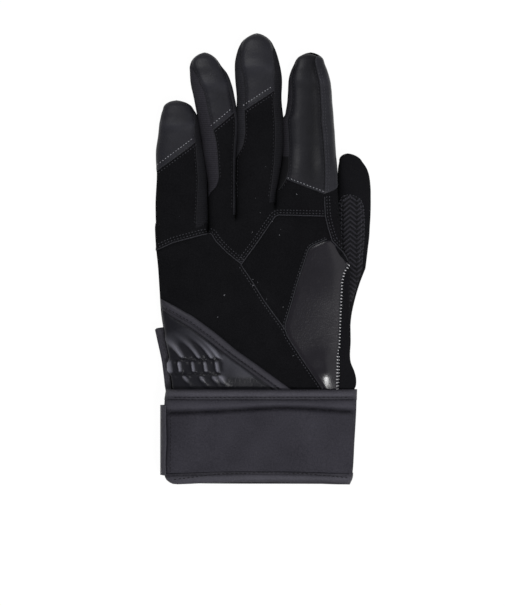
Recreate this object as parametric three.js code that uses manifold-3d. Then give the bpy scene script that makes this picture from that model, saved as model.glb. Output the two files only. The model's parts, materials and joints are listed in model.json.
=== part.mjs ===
import * as THREE from "three";
import { mergeVertices } from "three/addons/utils/BufferGeometryUtils.js";
import Module from "manifold-3d";

// A thin fielding glove for the right hand, lying on its back with the palm up.
// X runs from the little finger to the thumb, Y from the cuff to the fingertips, Z up.
// It is sewn from separate leather, suede and stretch panels round a hollow for the hand.

const wasm = await Module();
wasm.setup();

// Driving sizes of the hand, in millimetres.
const palmWidth = 102;
const palmLength = 102.3;
const palmThickness = 17;
const thumbSideRise = 9;
const edgeHeight = 7;
const pinkyLength = 70.4;
const pinkyWidth = 29.2;
const ringLength = 89.1;
const ringWidth = 22.2;
const middleLength = 93.5;
const middleWidth = 25.8;
const indexLength = 79.2;
const indexWidth = 33;
const thumbLength = 63.2;
const thumbWidth = 19.4;
const thumbThickness = 10.8;

// Driving sizes of the cuff and its closure.
const cuffHeight = 52.3;
const cuffThickness = 20;
const neoprene = 2.8;
const topBindingWidth = 6;
const bottomBindingWidth = 7;
const bindingProud = 0.35;
const sleeveDepth = 14.8;
const strapWidth = 38.5;
const strapLength = 76;
const strapThickness = 1.2;
const patchThickness = 0.7;
const hookLength = 24;
const loopLength = 44;
const patchMargin = 3;
const slitOpening = 1.8;
const slitBindingWidth = 3.6;
const slitBindingThickness = 2.2;

// Material, clearances and the one overrun of every cut.
const leather = 1.3;
const elasticThickness = 0.8;
const seamGap = 0.3;
const fitGap = 0.3;
const fingerGap = 0.6;
const restCut = 0.25;
const overrun = 20;

// Counts of points round a section.
const palmPoints = 36;
const fingerPoints = 18;

// Heights through the cuff, from the floor up: strap, hook patch, loop patch, cuff.
const strapTop = strapThickness - restCut;
const hookBottom = strapTop + fitGap;
const loopBottom = hookBottom + patchThickness + fitGap;
const cuffBottom = loopBottom + patchThickness + fitGap;
const cuffHalf = cuffThickness / 2;
const cuffMiddle = cuffBottom + cuffHalf;
const sleeveHalf = cuffHalf - neoprene - fitGap;

const across = (share) => share * palmWidth;
const along = (share) => share * palmLength;
const lerp = THREE.MathUtils.lerp;

// Solid tools: closed geometry to solid and back.

function solidOf(geometry) {
  const bare = geometry.clone();
  bare.deleteAttribute("normal");
  bare.deleteAttribute("uv");
  const merged = mergeVertices(bare, 1e-4);
  const mesh = new wasm.Mesh({
    numProp: 3,
    vertProperties: merged.attributes.position.array,
    triVerts: new Uint32Array(merged.index.array),
  });
  return new wasm.Manifold(mesh);
}

function geometryOf(solid) {
  const mesh = solid.getMesh();
  const geometry = new THREE.BufferGeometry();
  geometry.setAttribute("position", new THREE.BufferAttribute(mesh.vertProperties, 3));
  geometry.setIndex(new THREE.BufferAttribute(mesh.triVerts, 1));
  return geometry;
}

// A skin through closed loops of equal count that follow each other along +Y.
function loft(loops) {
  const count = loops[0].length;
  const places = loops.flat().flatMap((point) => point.toArray());
  const faces = [];
  for (let row = 0; row + 1 < loops.length; row += 1) {
    for (let k = 0; k < count; k += 1) {
      const a = row * count + k;
      const b = row * count + ((k + 1) % count);
      faces.push(a, a + count, b, a + count, b + count, b);
    }
  }
  for (const last of [false, true]) {
    const loop = last ? loops.at(-1) : loops[0];
    const start = last ? (loops.length - 1) * count : 0;
    const middle = new THREE.Vector3();
    loop.forEach((point) => middle.addScaledVector(point, 1 / count));
    const centre = places.length / 3;
    places.push(...middle.toArray());
    for (let k = 0; k < count; k += 1) {
      const here = start + k;
      const next = start + ((k + 1) % count);
      faces.push(centre, last ? next : here, last ? here : next);
    }
  }
  const geometry = new THREE.BufferGeometry();
  geometry.setAttribute("position", new THREE.Float32BufferAttribute(places, 3));
  geometry.setIndex(faces);
  return solidOf(geometry);
}

// One flattened oval section. Its ends may lie at different heights, and inset moves it inwards.
function ovalLoop(row, inset, count) {
  const loop = [];
  const left = row.left + inset;
  const right = row.right - inset;
  const half = row.half - inset;
  for (let k = 0; k < count; k += 1) {
    const angle = ((k + 0.5) / count) * 2 * Math.PI;
    const side = Math.cos(angle);
    const rise = (1 - Math.abs(side) ** row.power) ** (1 / row.power) * Math.sign(Math.sin(angle));
    const share = (side + 1) / 2;
    const z = lerp(row.leftZ, row.rightZ, share) + half * rise;
    loop.push(new THREE.Vector3(lerp(left, right, share), row.y, z));
  }
  return loop;
}

const ovalSkin = (rows, inset, count) => loft(rows.map((row) => ovalLoop(row, inset, count)));

// A plate with the given outline in X and Y, between two heights.
function plate(points, low, high) {
  const shape = new THREE.Shape(points);
  const geometry = new THREE.ExtrudeGeometry(shape, { depth: high - low, bevelEnabled: false });
  geometry.translate(0, 0, low);
  return solidOf(geometry);
}

function block(x0, x1, y0, y1, z0, z1) {
  const geometry = new THREE.BoxGeometry(x1 - x0, y1 - y0, z1 - z0);
  geometry.translate((x0 + x1) / 2, (y0 + y1) / 2, (z0 + z1) / 2);
  return solidOf(geometry);
}

// A thin upright blade that follows a seam and parts the two panels that meet there.
function blade(points, width) {
  const normals = points.map((point, k) => {
    const before = points[Math.max(k - 1, 0)];
    const after = points[Math.min(k + 1, points.length - 1)];
    return new THREE.Vector2(before.y - after.y, after.x - before.x).normalize();
  });
  const offset = (side) => points.map((point, k) => {
    return point.clone().addScaledVector(normals[k], (side * width) / 2);
  });
  return plate([...offset(1), ...offset(-1).reverse()], -overrun, 2 * overrun);
}

// The palm: a wide flat tube that rises towards the thumb and runs down into the cuff.

const cuffLeftShares = [[0, 0.057], [0.25, 0.043], [0.54, 0.038], [0.85, 0.035], [0.94, 0.046], [1, 0.085]];
const cuffRightShares = [[0, 1.086], [0.25, 1.083], [0.54, 1.074], [0.85, 1.066], [0.94, 1.06], [1, 1.046]];
const ovalPowerShare = 2.8;

// Reads a table of [place, value] pairs, straight between its rows.
function tableAt(table, place) {
  const next = Math.max(1, table.findIndex((row) => row[0] >= place));
  const after = table[place > table.at(-1)[0] ? table.length - 1 : next];
  const before = table[table.indexOf(after) - 1];
  return lerp(before[1], after[1], (place - before[0]) / (after[0] - before[0]));
}

// Place along the palm, left edge, right edge, thickness, lift of the left edge, tilt.
const palmShares = [
  [1.2, 0.0, 0.987, 1.0, 0.0, 0.92],
  [1.03, 0.0, 0.987, 1.0, 0.0, 0.95],
  [0.866, -0.003, 0.999, 1.03, 0.03, 1.0],
  [0.747, 0.006, 1.016, 1.05, 0.1, 0.97],
  [0.672, 0.014, 1.045, 1.06, 0.16, 0.9],
  [0.532, 0.024, 1.047, 1.06, 0.33, 0.78],
  [0.414, 0.032, 1.051, 1.03, 0.5, 0.6],
  [0.263, 0.056, 1.054, 0.96, 0.68, 0.38],
  [0.129, 0.077, 1.054, 0.87, 0.86, 0.15],
];

const edgeRise = cuffMiddle - edgeHeight;
const sleeveInset = neoprene + fitGap;
const sleeveLeft = across(cuffLeftShares[0][1]) + sleeveInset;
const sleeveRight = across(cuffRightShares[1][1]) - sleeveInset;

function palmRow([place, leftShare, rightShare, halfShare, liftShare, tiltShare]) {
  const leftZ = edgeHeight + liftShare * edgeRise;
  return {
    y: along(place),
    left: across(leftShare),
    right: across(rightShare),
    half: (halfShare * palmThickness) / 2,
    leftZ,
    rightZ: leftZ + tiltShare * thumbSideRise,
    power: ovalPowerShare,
  };
}

const sleeveRow = (y) => ({
  y,
  left: sleeveLeft,
  right: sleeveRight,
  half: sleeveHalf,
  leftZ: cuffMiddle,
  rightZ: cuffMiddle,
  power: ovalPowerShare,
});

const palmRows = [sleeveRow(-sleeveDepth), sleeveRow(0), ...palmShares.map(palmRow).reverse()];

function palmRowAt(y) {
  const next = palmRows.findIndex((row) => row.y >= y);
  const [before, after] = [palmRows[next - 1], palmRows[next]];
  const share = (y - before.y) / (after.y - before.y);
  const mixed = Object.keys(before).map((key) => [key, lerp(before[key], after[key], share)]);
  return Object.fromEntries(mixed);
}

// The root of the thumb, which leaves the palm under its edge.
const thumbBaseShare = 0.651;
const thumbBase = along(thumbBaseShare);
const thumbRootShares = [
  [0.651, 0.966, 1.137, 1.0, 0.0],
  [0.575, 0.95, 1.108, 1.1, 0.12],
  [0.5, 0.93, 1.083, 1.25, 0.35],
  [0.414, 0.92, 1.061, 1.4, 0.6],
  [0.3, 0.91, 1.05, 1.4, 0.8],
];
const thumbRootLift = 6.5;

const thumbRootRows = thumbRootShares.map(([place, leftShare, rightShare, halfShare, liftShare]) => {
  const middle = thumbThickness / 2 + liftShare * thumbRootLift;
  return {
    y: along(place),
    left: across(leftShare),
    right: across(rightShare),
    half: (halfShare * thumbThickness) / 2,
    leftZ: middle,
    rightZ: middle,
    power: ovalPowerShare,
  };
}).reverse();

function openAtStart(rows) {
  return [{ ...rows[0], y: rows[0].y - overrun }, ...rows];
}

function openAtEnd(rows) {
  return [...rows, { ...rows.at(-1), y: rows.at(-1).y + leather }];
}

function palmShell() {
  const outer = ovalSkin(palmRows, 0, palmPoints).add(ovalSkin(thumbRootRows, 0, fingerPoints));
  const hand = ovalSkin(openAtStart(openAtEnd(palmRows)), leather, palmPoints);
  const thumbHollow = ovalSkin(openAtEnd(thumbRootRows), leather, fingerPoints);
  return outer.subtract(hand).subtract(thumbHollow);
}

// The fingers. Each profile row gives place along the finger, half width and sideways shift.

const fingers = {
  pinky: {
    length: pinkyLength,
    width: pinkyWidth,
    middleShare: 0.144,
    baseShare: 0.866,
    baseHalfShare: 0.84,
    tipHalfShare: 0.66,
    baseFloorShare: 0.1,
    profileShares: [
      [0, 0.99, 0], [0.19, 0.99, 0], [0.38, 0.95, 0.005], [0.61, 0.89, -0.04],
      [0.73, 0.81, -0.04], [0.84, 0.74, -0.04], [0.89, 0.67, -0.05], [0.94, 0.56, -0.07],
      [0.98, 0.33, -0.095], [1, 0.12, -0.1],
    ],
    strips: { right: [[-0.1, 0.5], [0.3, 0.6], [0.6, 0.68], [0.84, 0.78], [0.93, 0.95]] },
    patchShares: [0.477, 0.6875],
  },
  ring: {
    length: ringLength,
    width: ringWidth,
    middleShare: 0.3625,
    baseShare: 0.941,
    baseHalfShare: 0.96,
    tipHalfShare: 0.66,
    baseFloorShare: 0.22,
    profileShares: [
      [0, 0.66, 0], [0.33, 0.71, -0.03], [0.58, 0.92, -0.1], [0.65, 0.95, -0.165],
      [0.73, 0.98, -0.225], [0.8, 1, -0.285], [0.88, 0.9, -0.36], [0.91, 0.81, -0.41],
      [0.95, 0.66, -0.435], [0.985, 0.38, -0.445], [1, 0.14, -0.44],
    ],
    strips: {
      left: [[-0.1, -0.2], [0.26, -0.17], [0.43, -0.17], [0.56, -0.36], [0.82, -0.54], [0.93, -0.92]],
      right: [[-0.1, 0.8], [0.6, 0.84], [0.85, 0.86], [0.93, 0.96]],
    },
    patchShares: [0.48, 0.63],
  },
  middle: {
    length: middleLength,
    width: middleWidth,
    middleShare: 0.5425,
    baseShare: 1,
    baseHalfShare: 1,
    tipHalfShare: 0.66,
    baseFloorShare: 0.36,
    profileShares: [
      [0, 0.795, 0], [0.31, 0.92, 0.105], [0.49, 0.92, 0.1], [0.6, 0.94, 0.08], [0.75, 1, 0.06],
      [0.84, 0.93, 0.03], [0.91, 0.785, 0.02], [0.95, 0.65, 0.02], [0.982, 0.4, 0.03], [1, 0.15, 0.03],
    ],
    strips: {
      left: [[-0.1, -0.9], [0.31, -0.8], [0.49, -0.66], [0.76, -0.66], [0.93, -0.93]],
      right: [[-0.1, 0.72], [0.73, 0.7], [0.84, 0.78], [0.93, 0.96]],
    },
    patchShares: [0.547, 0.69],
  },
  index: {
    length: indexLength,
    width: indexWidth,
    middleShare: 0.8175,
    baseShare: 1.038,
    baseHalfShare: 0.94,
    tipHalfShare: 0.66,
    baseFloorShare: 0.88,
    profileShares: [
      [0, 1, 0], [0.32, 0.84, 0.045], [0.44, 0.825, 0.05], [0.57, 0.795, 0.05], [0.65, 0.76, 0.05],
      [0.74, 0.73, 0.05], [0.82, 0.68, 0.045], [0.87, 0.61, 0.045], [0.92, 0.51, 0.05],
      [0.96, 0.37, 0.07], [0.985, 0.24, 0.085], [1, 0.1, 0.09],
    ],
    strips: {
      left: [[-0.1, -0.86], [0.5, -0.84], [0.82, -0.84], [0.93, -0.95]],
      right: [[-0.1, 0.56], [0.35, 0.55], [0.6, 0.5], [0.82, 0.45], [0.9, 0.4], [0.955, 0.45]],
    },
  },
};

const domeShares = [[0, 1], [0.84, 1], [0.91, 0.9], [0.95, 0.76], [0.982, 0.5], [1, 0.2]];
const floorReachShare = 0.75;
const basePowerShare = 4;
const tipPowerShare = 2.5;
const roundedByShare = 0.35;

function fingerRows(finger) {
  return finger.profileShares.map(([place, halfShare, shiftShare]) => {
    const taper = lerp(finger.baseHalfShare, finger.tipHalfShare, place);
    const full = (taper * palmThickness) / 2;
    const fall = Math.max(0, 1 - place / floorReachShare) ** 1.5;
    const floor = finger.baseFloorShare * edgeHeight * fall;
    const centre = across(finger.middleShare) + shiftShare * finger.width;
    const halfWidth = (halfShare * finger.width) / 2;
    return {
      y: along(finger.baseShare) + seamGap + place * (finger.length - seamGap),
      left: centre - halfWidth,
      right: centre + halfWidth,
      half: full * tableAt(domeShares, place),
      leftZ: floor + full,
      rightZ: floor + full,
      power: lerp(basePowerShare, tipPowerShare, Math.min(1, place / roundedByShare)),
    };
  });
}

function hollow(rows, count) {
  const outer = ovalSkin(rows, 0, count);
  const inner = [{ ...rows[0], y: rows[0].y - leather }, ...rows.slice(1, -1)];
  return outer.subtract(ovalSkin(inner, leather, count));
}

// Everything on one side of a seam that runs along a finger, seen from above.
function sideOfSeam(rows, seamShares, side, shift) {
  const start = rows[0].y;
  const length = rows.at(-1).y - start;
  const rowTable = (key) => rows.map((row) => [(row.y - start) / length, row[key]]);
  const edges = { left: rowTable("left"), right: rowTable("right") };
  const points = seamShares.map(([place, seamShare]) => {
    const left = tableAt(edges.left, Math.max(0, place));
    const right = tableAt(edges.right, Math.max(0, place));
    const x = lerp(left, right, (seamShare + 1) / 2);
    return new THREE.Vector2(x + shift * side, start + place * length);
  });
  const last = points.at(-1);
  last.y -= shift;
  const far = side > 0 ? Math.max(...rows.map((row) => row.right)) : Math.min(...rows.map((row) => row.left));
  const beyond = far + side * overrun;
  points.push(new THREE.Vector2(beyond, last.y));
  points.push(new THREE.Vector2(beyond, points[0].y));
  return plate(points, -overrun, 2 * overrun);
}

// The upper half of a finger and the lower half, parted by the seam at mid height.
function halves(rows, solid) {
  const middles = rows.map((row) => new THREE.Vector2(row.y, (row.leftZ + row.rightZ) / 2));
  const first = middles[0].clone().setX(middles[0].x - overrun);
  const last = middles.at(-1).clone().setX(middles.at(-1).x + overrun);
  const line = [first, ...middles, last];
  const turned = new THREE.Matrix4().makeBasis(
    new THREE.Vector3(0, 1, 0),
    new THREE.Vector3(0, 0, 1),
    new THREE.Vector3(1, 0, 0),
  );
  return [1, -1].map((side) => {
    const near = line.map((point) => point.clone().setY(point.y + (side * seamGap) / 2));
    const shape = new THREE.Shape([
      ...near,
      new THREE.Vector2(last.x, last.y + side * 2 * overrun),
      new THREE.Vector2(first.x, last.y + side * 2 * overrun),
    ]);
    const width = palmWidth + 4 * overrun;
    const geometry = new THREE.ExtrudeGeometry(shape, { depth: width, bevelEnabled: false });
    geometry.translate(0, 0, -2 * overrun);
    geometry.applyMatrix4(turned);
    return solid.intersect(solidOf(geometry));
  });
}

// The largest body of a solid: a cut can leave crumbs where two seams meet.
function largest(solid) {
  return solid.decompose().sort((a, b) => b.volume() - a.volume())[0];
}

const parts = new THREE.Group();

function addPart(name, solid, look) {
  const mesh = new THREE.Mesh(geometryOf(largest(solid)), new THREE.MeshStandardMaterial(look));
  mesh.name = name;
  parts.add(mesh);
}

const suede = { color: 0x161618, roughness: 0.95, metalness: 0 };
const tipLeather = { color: 0x34353a, roughness: 0.5, metalness: 0 };
const gloss = { color: 0x2f3033, roughness: 0.25, metalness: 0 };
const stretch = { color: 0x26262b, roughness: 0.8, metalness: 0 };
const neopreneCloth = { color: 0x313136, roughness: 0.85, metalness: 0 };
const bindingCloth = { color: 0x403f45, roughness: 0.7, metalness: 0 };
const tufts = { color: 0x1c1c1f, roughness: 1, metalness: 0 };

// The tip patch lies beyond a slanting seam, from its left end to its right end.
function beyondPatchSeam(rows, [leftShare, rightShare], side) {
  const start = rows[0].y;
  const length = rows.at(-1).y - start;
  const left = Math.min(...rows.map((row) => row.left));
  const right = Math.max(...rows.map((row) => row.right));
  const shift = (side * seamGap) / 2;
  return plate([
    new THREE.Vector2(left - seamGap, start + leftShare * length + shift),
    new THREE.Vector2(right + seamGap, start + rightShare * length + shift),
    new THREE.Vector2(right + seamGap, start + length * (1 + side)),
    new THREE.Vector2(left - seamGap, start + length * (1 + side)),
  ], -overrun, 2 * overrun);
}

for (const [name, finger] of Object.entries(fingers)) {
  const rows = fingerRows(finger);
  let shell = hollow(rows, fingerPoints);
  for (const [side, seamShares] of Object.entries(finger.strips)) {
    const sign = side === "right" ? 1 : -1;
    const strip = shell.intersect(sideOfSeam(rows, seamShares, sign, seamGap / 2));
    shell = shell.subtract(sideOfSeam(rows, seamShares, sign, -seamGap / 2));
    const outside = name === "index" && side === "right";
    const inner = side === "right" ? "_right_fourchette" : "_left_fourchette";
    addPart(name + (outside ? "_side_strip" : inner), strip, stretch);
  }
  const [front, back] = halves(rows, shell);
  addPart(name + "_back_panel", back, stretch);
  if (finger.patchShares) {
    addPart(name + "_front_panel", front.intersect(beyondPatchSeam(rows, finger.patchShares, -1)), suede);
    addPart(name + "_tip_patch", front.intersect(beyondPatchSeam(rows, finger.patchShares, 1)), tipLeather);
  } else {
    addPart(name + "_front_leather", front, tipLeather);
  }
}

// The thumb lies flat on the floor, partly under the edge of the palm.

const thumbMiddleShare = 1.0675;
const thumbProfileShares = [
  [0, 0.92, -0.1], [0.16, 0.96, -0.05], [0.35, 0.97, 0], [0.6, 0.97, 0.02], [0.77, 0.93, 0.02],
  [0.82, 0.89, 0.01], [0.88, 0.8, -0.02], [0.93, 0.66, -0.06], [0.975, 0.4, -0.13], [1, 0.15, -0.16],
];
const gripShares = [
  [-0.42, 0.0], [-0.42, 0.56], [-0.3, 0.63], [-0.05, 0.64], [0.22, 0.6],
  [0.3, 0.54], [0.33, 0.4], [0.31, 0.2], [0.27, 0.1], [0.26, 0.0],
];

const thumbRows = thumbProfileShares.map(([place, halfShare, shiftShare]) => {
  const centre = across(thumbMiddleShare) + shiftShare * thumbWidth;
  const half = (lerp(1, 0.9, place) * thumbThickness) / 2;
  return {
    y: thumbBase + seamGap + place * (thumbLength - seamGap),
    left: centre - (halfShare * thumbWidth) / 2,
    right: centre + (halfShare * thumbWidth) / 2,
    half: half * tableAt(domeShares, place),
    leftZ: half,
    rightZ: half,
    power: tipPowerShare,
  };
});

function gripOutline(grow) {
  const middle = new THREE.Vector2(across(thumbMiddleShare), thumbBase + thumbLength * 0.32);
  return gripShares.map(([acrossThumb, alongThumb]) => {
    const point = new THREE.Vector2(
      across(thumbMiddleShare) + acrossThumb * thumbWidth,
      thumbBase + alongThumb * thumbLength,
    );
    return point.addScaledVector(point.clone().sub(middle).normalize(), grow);
  });
}

const [thumbFront, thumbBack] = halves(thumbRows, hollow(thumbRows, fingerPoints));
const gripWindow = plate(gripOutline(seamGap), -overrun, 2 * overrun);
addPart("thumb_front_panel", thumbFront.subtract(gripWindow), suede);
addPart("thumb_grip_insert", thumbFront.intersect(plate(gripOutline(0), -overrun, 2 * overrun)), stretch);
addPart("thumb_back_panel", thumbBack, suede);

// The palm's seams, as places across and along the palm.

const knuckleSeamShares = [
  [-0.049, 0.726], [0.029, 0.753], [0.1, 0.785], [0.257, 0.826], [0.302, 0.833], [0.327, 0.792],
  [0.387, 0.731], [0.466, 0.667], [0.55, 0.78], [0.647, 0.922], [0.663, 0.931], [0.912, 0.925],
];
const indexSeamShares = [[0.909, 1.091], [0.911, 0.978], [0.909, 0.925], [0.922, 0.86], [0.949, 0.785]];
const thenarSeamShares = [
  [1.094, 0.715], [1.019, 0.728], [0.965, 0.761], [0.946, 0.796], [0.925, 0.803], [0.83, 0.758],
  [0.764, 0.559], [0.702, 0.346], [0.712, 0.29], [0.774, 0.194], [0.899, 0.011], [0.922, -0.22],
];
const heelSeamShares = [[0.472, 0.688], [0.518, 0.591], [0.588, 0.478], [0.708, 0.312]];
const whipSeamShares = [
  [1.094, 0.672], [1.03, 0.648], [1.011, 0.608], [0.995, 0.425], [0.981, 0], [0.981, -0.22],
];
const wristSeamShares = [
  [-0.049, 0.522], [0.043, 0.48], [0.108, 0.446], [0.21, 0.389], [0.323, 0.306],
  [0.437, 0.212], [0.539, 0.14], [0.717, 0.011], [0.954, -0.167],
];
const wristBindingSeamShares = [
  [-0.049, 0.473], [0.043, 0.425], [0.097, 0.387], [0.192, 0.331], [0.286, 0.263],
  [0.392, 0.18], [0.539, 0.073], [0.631, 0.005], [0.857, -0.177],
];
const seamTables = [
  knuckleSeamShares, indexSeamShares, thenarSeamShares, heelSeamShares,
  whipSeamShares, wristSeamShares, wristBindingSeamShares,
];

// Each panel is told apart by a point that lies on it.
const panelSpots = {
  palm_knuckle_panel: [0.512, 0.952],
  index_root_panel: [0.949, 0.935],
  palm_centre_panel: [0.728, 0.828],
  palm_heel_panel: [0.243, 0.64],
  thenar_patch: [0.836, 0.478],
  thumb_side_panel: [1.035, 0.263],
  wrist_panel: [0.243, 0.129],
  wrist_panel_binding: [0.338, 0.263],
};
const panelLooks = {
  thenar_patch: gloss,
  wrist_panel: tipLeather,
  wrist_panel_binding: bindingCloth,
};

const seamPoint = ([x, y]) => new THREE.Vector2(across(x), along(y));

// The four steps of the palm's top edge, one for each finger.
function trimmedToFingers(shell) {
  const borderShares = [-1, 0.288, 0.437, 0.647, 2];
  let trimmed = shell;
  Object.values(fingers).forEach((finger, k) => {
    const [from, to] = [borderShares[k], borderShares[k + 1]];
    const x0 = across(from) - (k > 0 ? fingerGap / 2 : 0);
    const x1 = across(to) + (k < 3 ? fingerGap / 2 : 0);
    const y0 = along(finger.baseShare);
    trimmed = trimmed.subtract(block(x0, x1, y0, y0 + palmLength, -overrun, 3 * overrun));
  });
  return trimmed;
}

// Height of the side seams at the right edge, as shares of the palm's own section there.
const rightSeamShares = [
  [-0.2, 0], [0.129, -0.1], [0.414, -0.55], [0.6, -0.95], [0.7, -0.2], [0.8, 0], [1.3, 0],
];

// The space above a surface that runs through the side seams of the palm, moved up by a shift.
function aboveSeams(shiftAt) {
  const places = [palmRows[0].y - overrun, ...palmRows.slice(1).map((row) => row.y)];
  const loops = places.map((y) => {
    const row = palmRowAt(Math.max(y, palmRows[0].y + fitGap));
    const left = row.leftZ + shiftAt(y);
    const edge = row.rightZ + row.half * tableAt(rightSeamShares, y / palmLength) + shiftAt(y);
    const right = edge + ((edge - left) * overrun) / (row.right - row.left);
    return [
      new THREE.Vector3(row.right + overrun, y, right),
      new THREE.Vector3(row.right + overrun, y, 3 * overrun),
      new THREE.Vector3(row.left - slitReach, y, 3 * overrun),
      new THREE.Vector3(row.left - slitReach, y, left),
    ];
  });
  return loft(loops);
}

// The wrist opens along the little-finger edge, below the slit's upper end.
const slitTopShare = 0.34;
const slitReach = 9;
const slitDrop = (y) => (y < along(slitTopShare) ? slitOpening : 0);

const shell = trimmedToFingers(palmShell());
let upper = shell.intersect(aboveSeams(() => seamGap / 2));
for (const table of seamTables) {
  upper = upper.subtract(blade(table.map(seamPoint), seamGap));
}
addPart("hand_back_panel", shell.subtract(aboveSeams((y) => -seamGap / 2 - slitDrop(y))), stretch);

const panels = upper.decompose();
const overlapAt = (panel, [x, y]) => {
  const probe = block(across(x), across(x) + leather, along(y), along(y) + leather, -overrun, 3 * overrun);
  return panel.intersect(probe).volume();
};
const panelAt = (spot) => panels.reduce((best, panel) => {
  return overlapAt(panel, spot) > overlapAt(best, spot) ? panel : best;
});

// Gathers: the wrist panel is drawn up into soft ridges between two rows of elastic stitching.
const gatherCount = 5;
const gatherFirstShare = 0.113;
const gatherPitch = 6;
const gatherWidth = 3.4;
const gatherLength = 9.5;
const gatherShare = 0.12;

function withGathers(panel) {
  let gathered = panel;
  for (let k = 0; k < gatherCount; k += 1) {
    const x = across(gatherFirstShare) + (k + 0.5) * gatherPitch;
    const row = palmRowAt(along(gatherShare));
    const side = (2 * (x - row.left)) / (row.right - row.left) - 1;
    const rise = (1 - Math.abs(side) ** row.power) ** (1 / row.power);
    const z = lerp(row.leftZ, row.rightZ, (side + 1) / 2) + row.half * rise - leather / 2;
    const ridge = new THREE.SphereGeometry(1, 10, 6);
    ridge.scale(gatherWidth / 2, gatherLength / 2, leather * 1.1);
    ridge.translate(x, along(gatherShare), z);
    gathered = gathered.add(solidOf(ridge));
  }
  return gathered;
}

for (const [name, spot] of Object.entries(panelSpots)) {
  const panel = panelAt(spot);
  addPart(name, name === "wrist_panel" ? withGathers(panel) : panel, panelLooks[name] ?? suede);
}

// The elastic tape sewn inside the wrist panel, behind the gathers.
const elasticFromShare = 0.06;
const elasticToShare = 0.18;
const elasticLeftShare = 0.12;
const elasticRightShare = 0.36;

function wristElastic() {
  const rows = [elasticFromShare, gatherShare, elasticToShare].map((share) => palmRowAt(along(share)));
  const depth = leather * 1.7 + fitGap;
  const skin = ovalSkin(rows, depth, palmPoints);
  const inner = [{ ...rows[0], y: rows[0].y - fitGap }, rows[1], { ...rows[2], y: rows[2].y + fitGap }];
  const tape = skin.subtract(ovalSkin(inner, depth + elasticThickness, palmPoints));
  const x0 = across(elasticLeftShare);
  const x1 = across(elasticRightShare);
  return tape.intersect(block(x0, x1, 0, palmLength, cuffMiddle, 3 * overrun));
}
addPart("wrist_elastic", wristElastic(), bindingCloth);

// The cuff: a thick band round the wrist, open along the little-finger edge.

function cuffRow(y) {
  const place = -y / cuffHeight;
  return {
    y,
    left: across(tableAt(cuffLeftShares, place)),
    right: across(tableAt(cuffRightShares, place)),
    half: cuffHalf,
    leftZ: cuffMiddle,
    rightZ: cuffMiddle,
    power: ovalPowerShare,
  };
}

function cuffRing(fromY, toY, proud, wall) {
  const bends = [...cuffLeftShares].reverse().map(([share]) => -share * cuffHeight);
  const between = bends.filter((y) => y > fromY + fitGap && y < toY - fitGap);
  const rows = [fromY, ...between, toY].map(cuffRow);
  const first = { ...rows[0], y: fromY - fitGap };
  const last = { ...rows.at(-1), y: toY + fitGap };
  const inner = [first, ...rows.slice(1, -1), last];
  return ovalSkin(rows, -proud, palmPoints).subtract(ovalSkin(inner, wall - proud, palmPoints));
}

const cuffLeftMost = across(cuffLeftShares[3][1]);
const slitDepthShare = 0.18;
const slitTop = cuffMiddle - slitDepthShare * cuffHalf;
const cuffSlit = block(
  cuffLeftMost - slitReach, cuffLeftMost + slitReach,
  -cuffHeight - overrun, overrun,
  slitTop - slitOpening, slitTop,
);
const bindingStart = -topBindingWidth;
const bindingEnd = -cuffHeight + bottomBindingWidth;
const topBinding = cuffRing(bindingStart, 0, bindingProud, neoprene + bindingProud);
const band = cuffRing(bindingEnd + seamGap, bindingStart - seamGap, 0, neoprene);
const bottomBinding = cuffRing(-cuffHeight, bindingEnd, bindingProud, neoprene + bindingProud);
addPart("cuff_top_binding", topBinding.subtract(cuffSlit), bindingCloth);
addPart("cuff_band", band.subtract(cuffSlit), neopreneCloth);
addPart("cuff_bottom_binding", bottomBinding.subtract(cuffSlit), bindingCloth);

// The closure: a strap folded round the open edge, with hooks that grip a loop patch on the cuff's back.

const strapCentre = -0.537 * cuffHeight;
const strapFrom = strapCentre - strapWidth / 2;
const strapTo = strapCentre + strapWidth / 2;
const strapLeft = across(0.027);
const strapRight = strapLeft + strapLength;
const foldTop = cuffMiddle + 0.45 * cuffHalf;
const strapFoldZ = cuffMiddle - 0.62 * cuffHalf;

// A layer that follows the outside of the cuff at a given distance.
function cuffLayer(near, thickness, fromY, toY) {
  return cuffRing(fromY, toY, near + thickness, thickness);
}

const strapNear = cuffBottom - strapTop;
const strapSheet = cuffLayer(strapNear, strapThickness, strapFrom, strapTo);
const strapEnd = strapWidth / 6;
const strapOutline = [
  new THREE.Vector2(strapLeft, strapFrom - fitGap),
  new THREE.Vector2(strapRight - strapEnd, strapFrom - fitGap),
  new THREE.Vector2(strapRight, strapFrom + strapEnd),
  new THREE.Vector2(strapRight, strapTo - strapEnd),
  new THREE.Vector2(strapRight - strapEnd, strapTo + fitGap),
  new THREE.Vector2(strapLeft, strapTo + fitGap),
];
addPart("closure_strap", strapSheet.intersect(plate(strapOutline, 0, strapFoldZ)), neopreneCloth);

function patchOnCuff(near, left, length) {
  const layer = cuffLayer(near, patchThickness, strapFrom + patchMargin, strapTo - patchMargin);
  return layer.intersect(block(left, left + length, -cuffHeight - overrun, 0, -overrun, cuffMiddle));
}

const hookLeft = strapRight - strapEnd - patchMargin - hookLength;
const loopLeft = hookLeft + hookLength - loopLength;
addPart("hook_patch", patchOnCuff(cuffBottom - hookBottom - patchThickness, hookLeft, hookLength), tufts);
addPart("loop_patch", patchOnCuff(fitGap, loopLeft, loopLength), tufts);

const anchorSheet = cuffLayer(bindingProud + fitGap, strapThickness, strapFrom, strapTo);
const anchorBox = block(
  cuffLeftMost - overrun, cuffLeftMost + slitReach, -cuffHeight - overrun, 0, strapFoldZ + fitGap, foldTop,
);
addPart("strap_anchor", anchorSheet.intersect(anchorBox), neopreneCloth);

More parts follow.
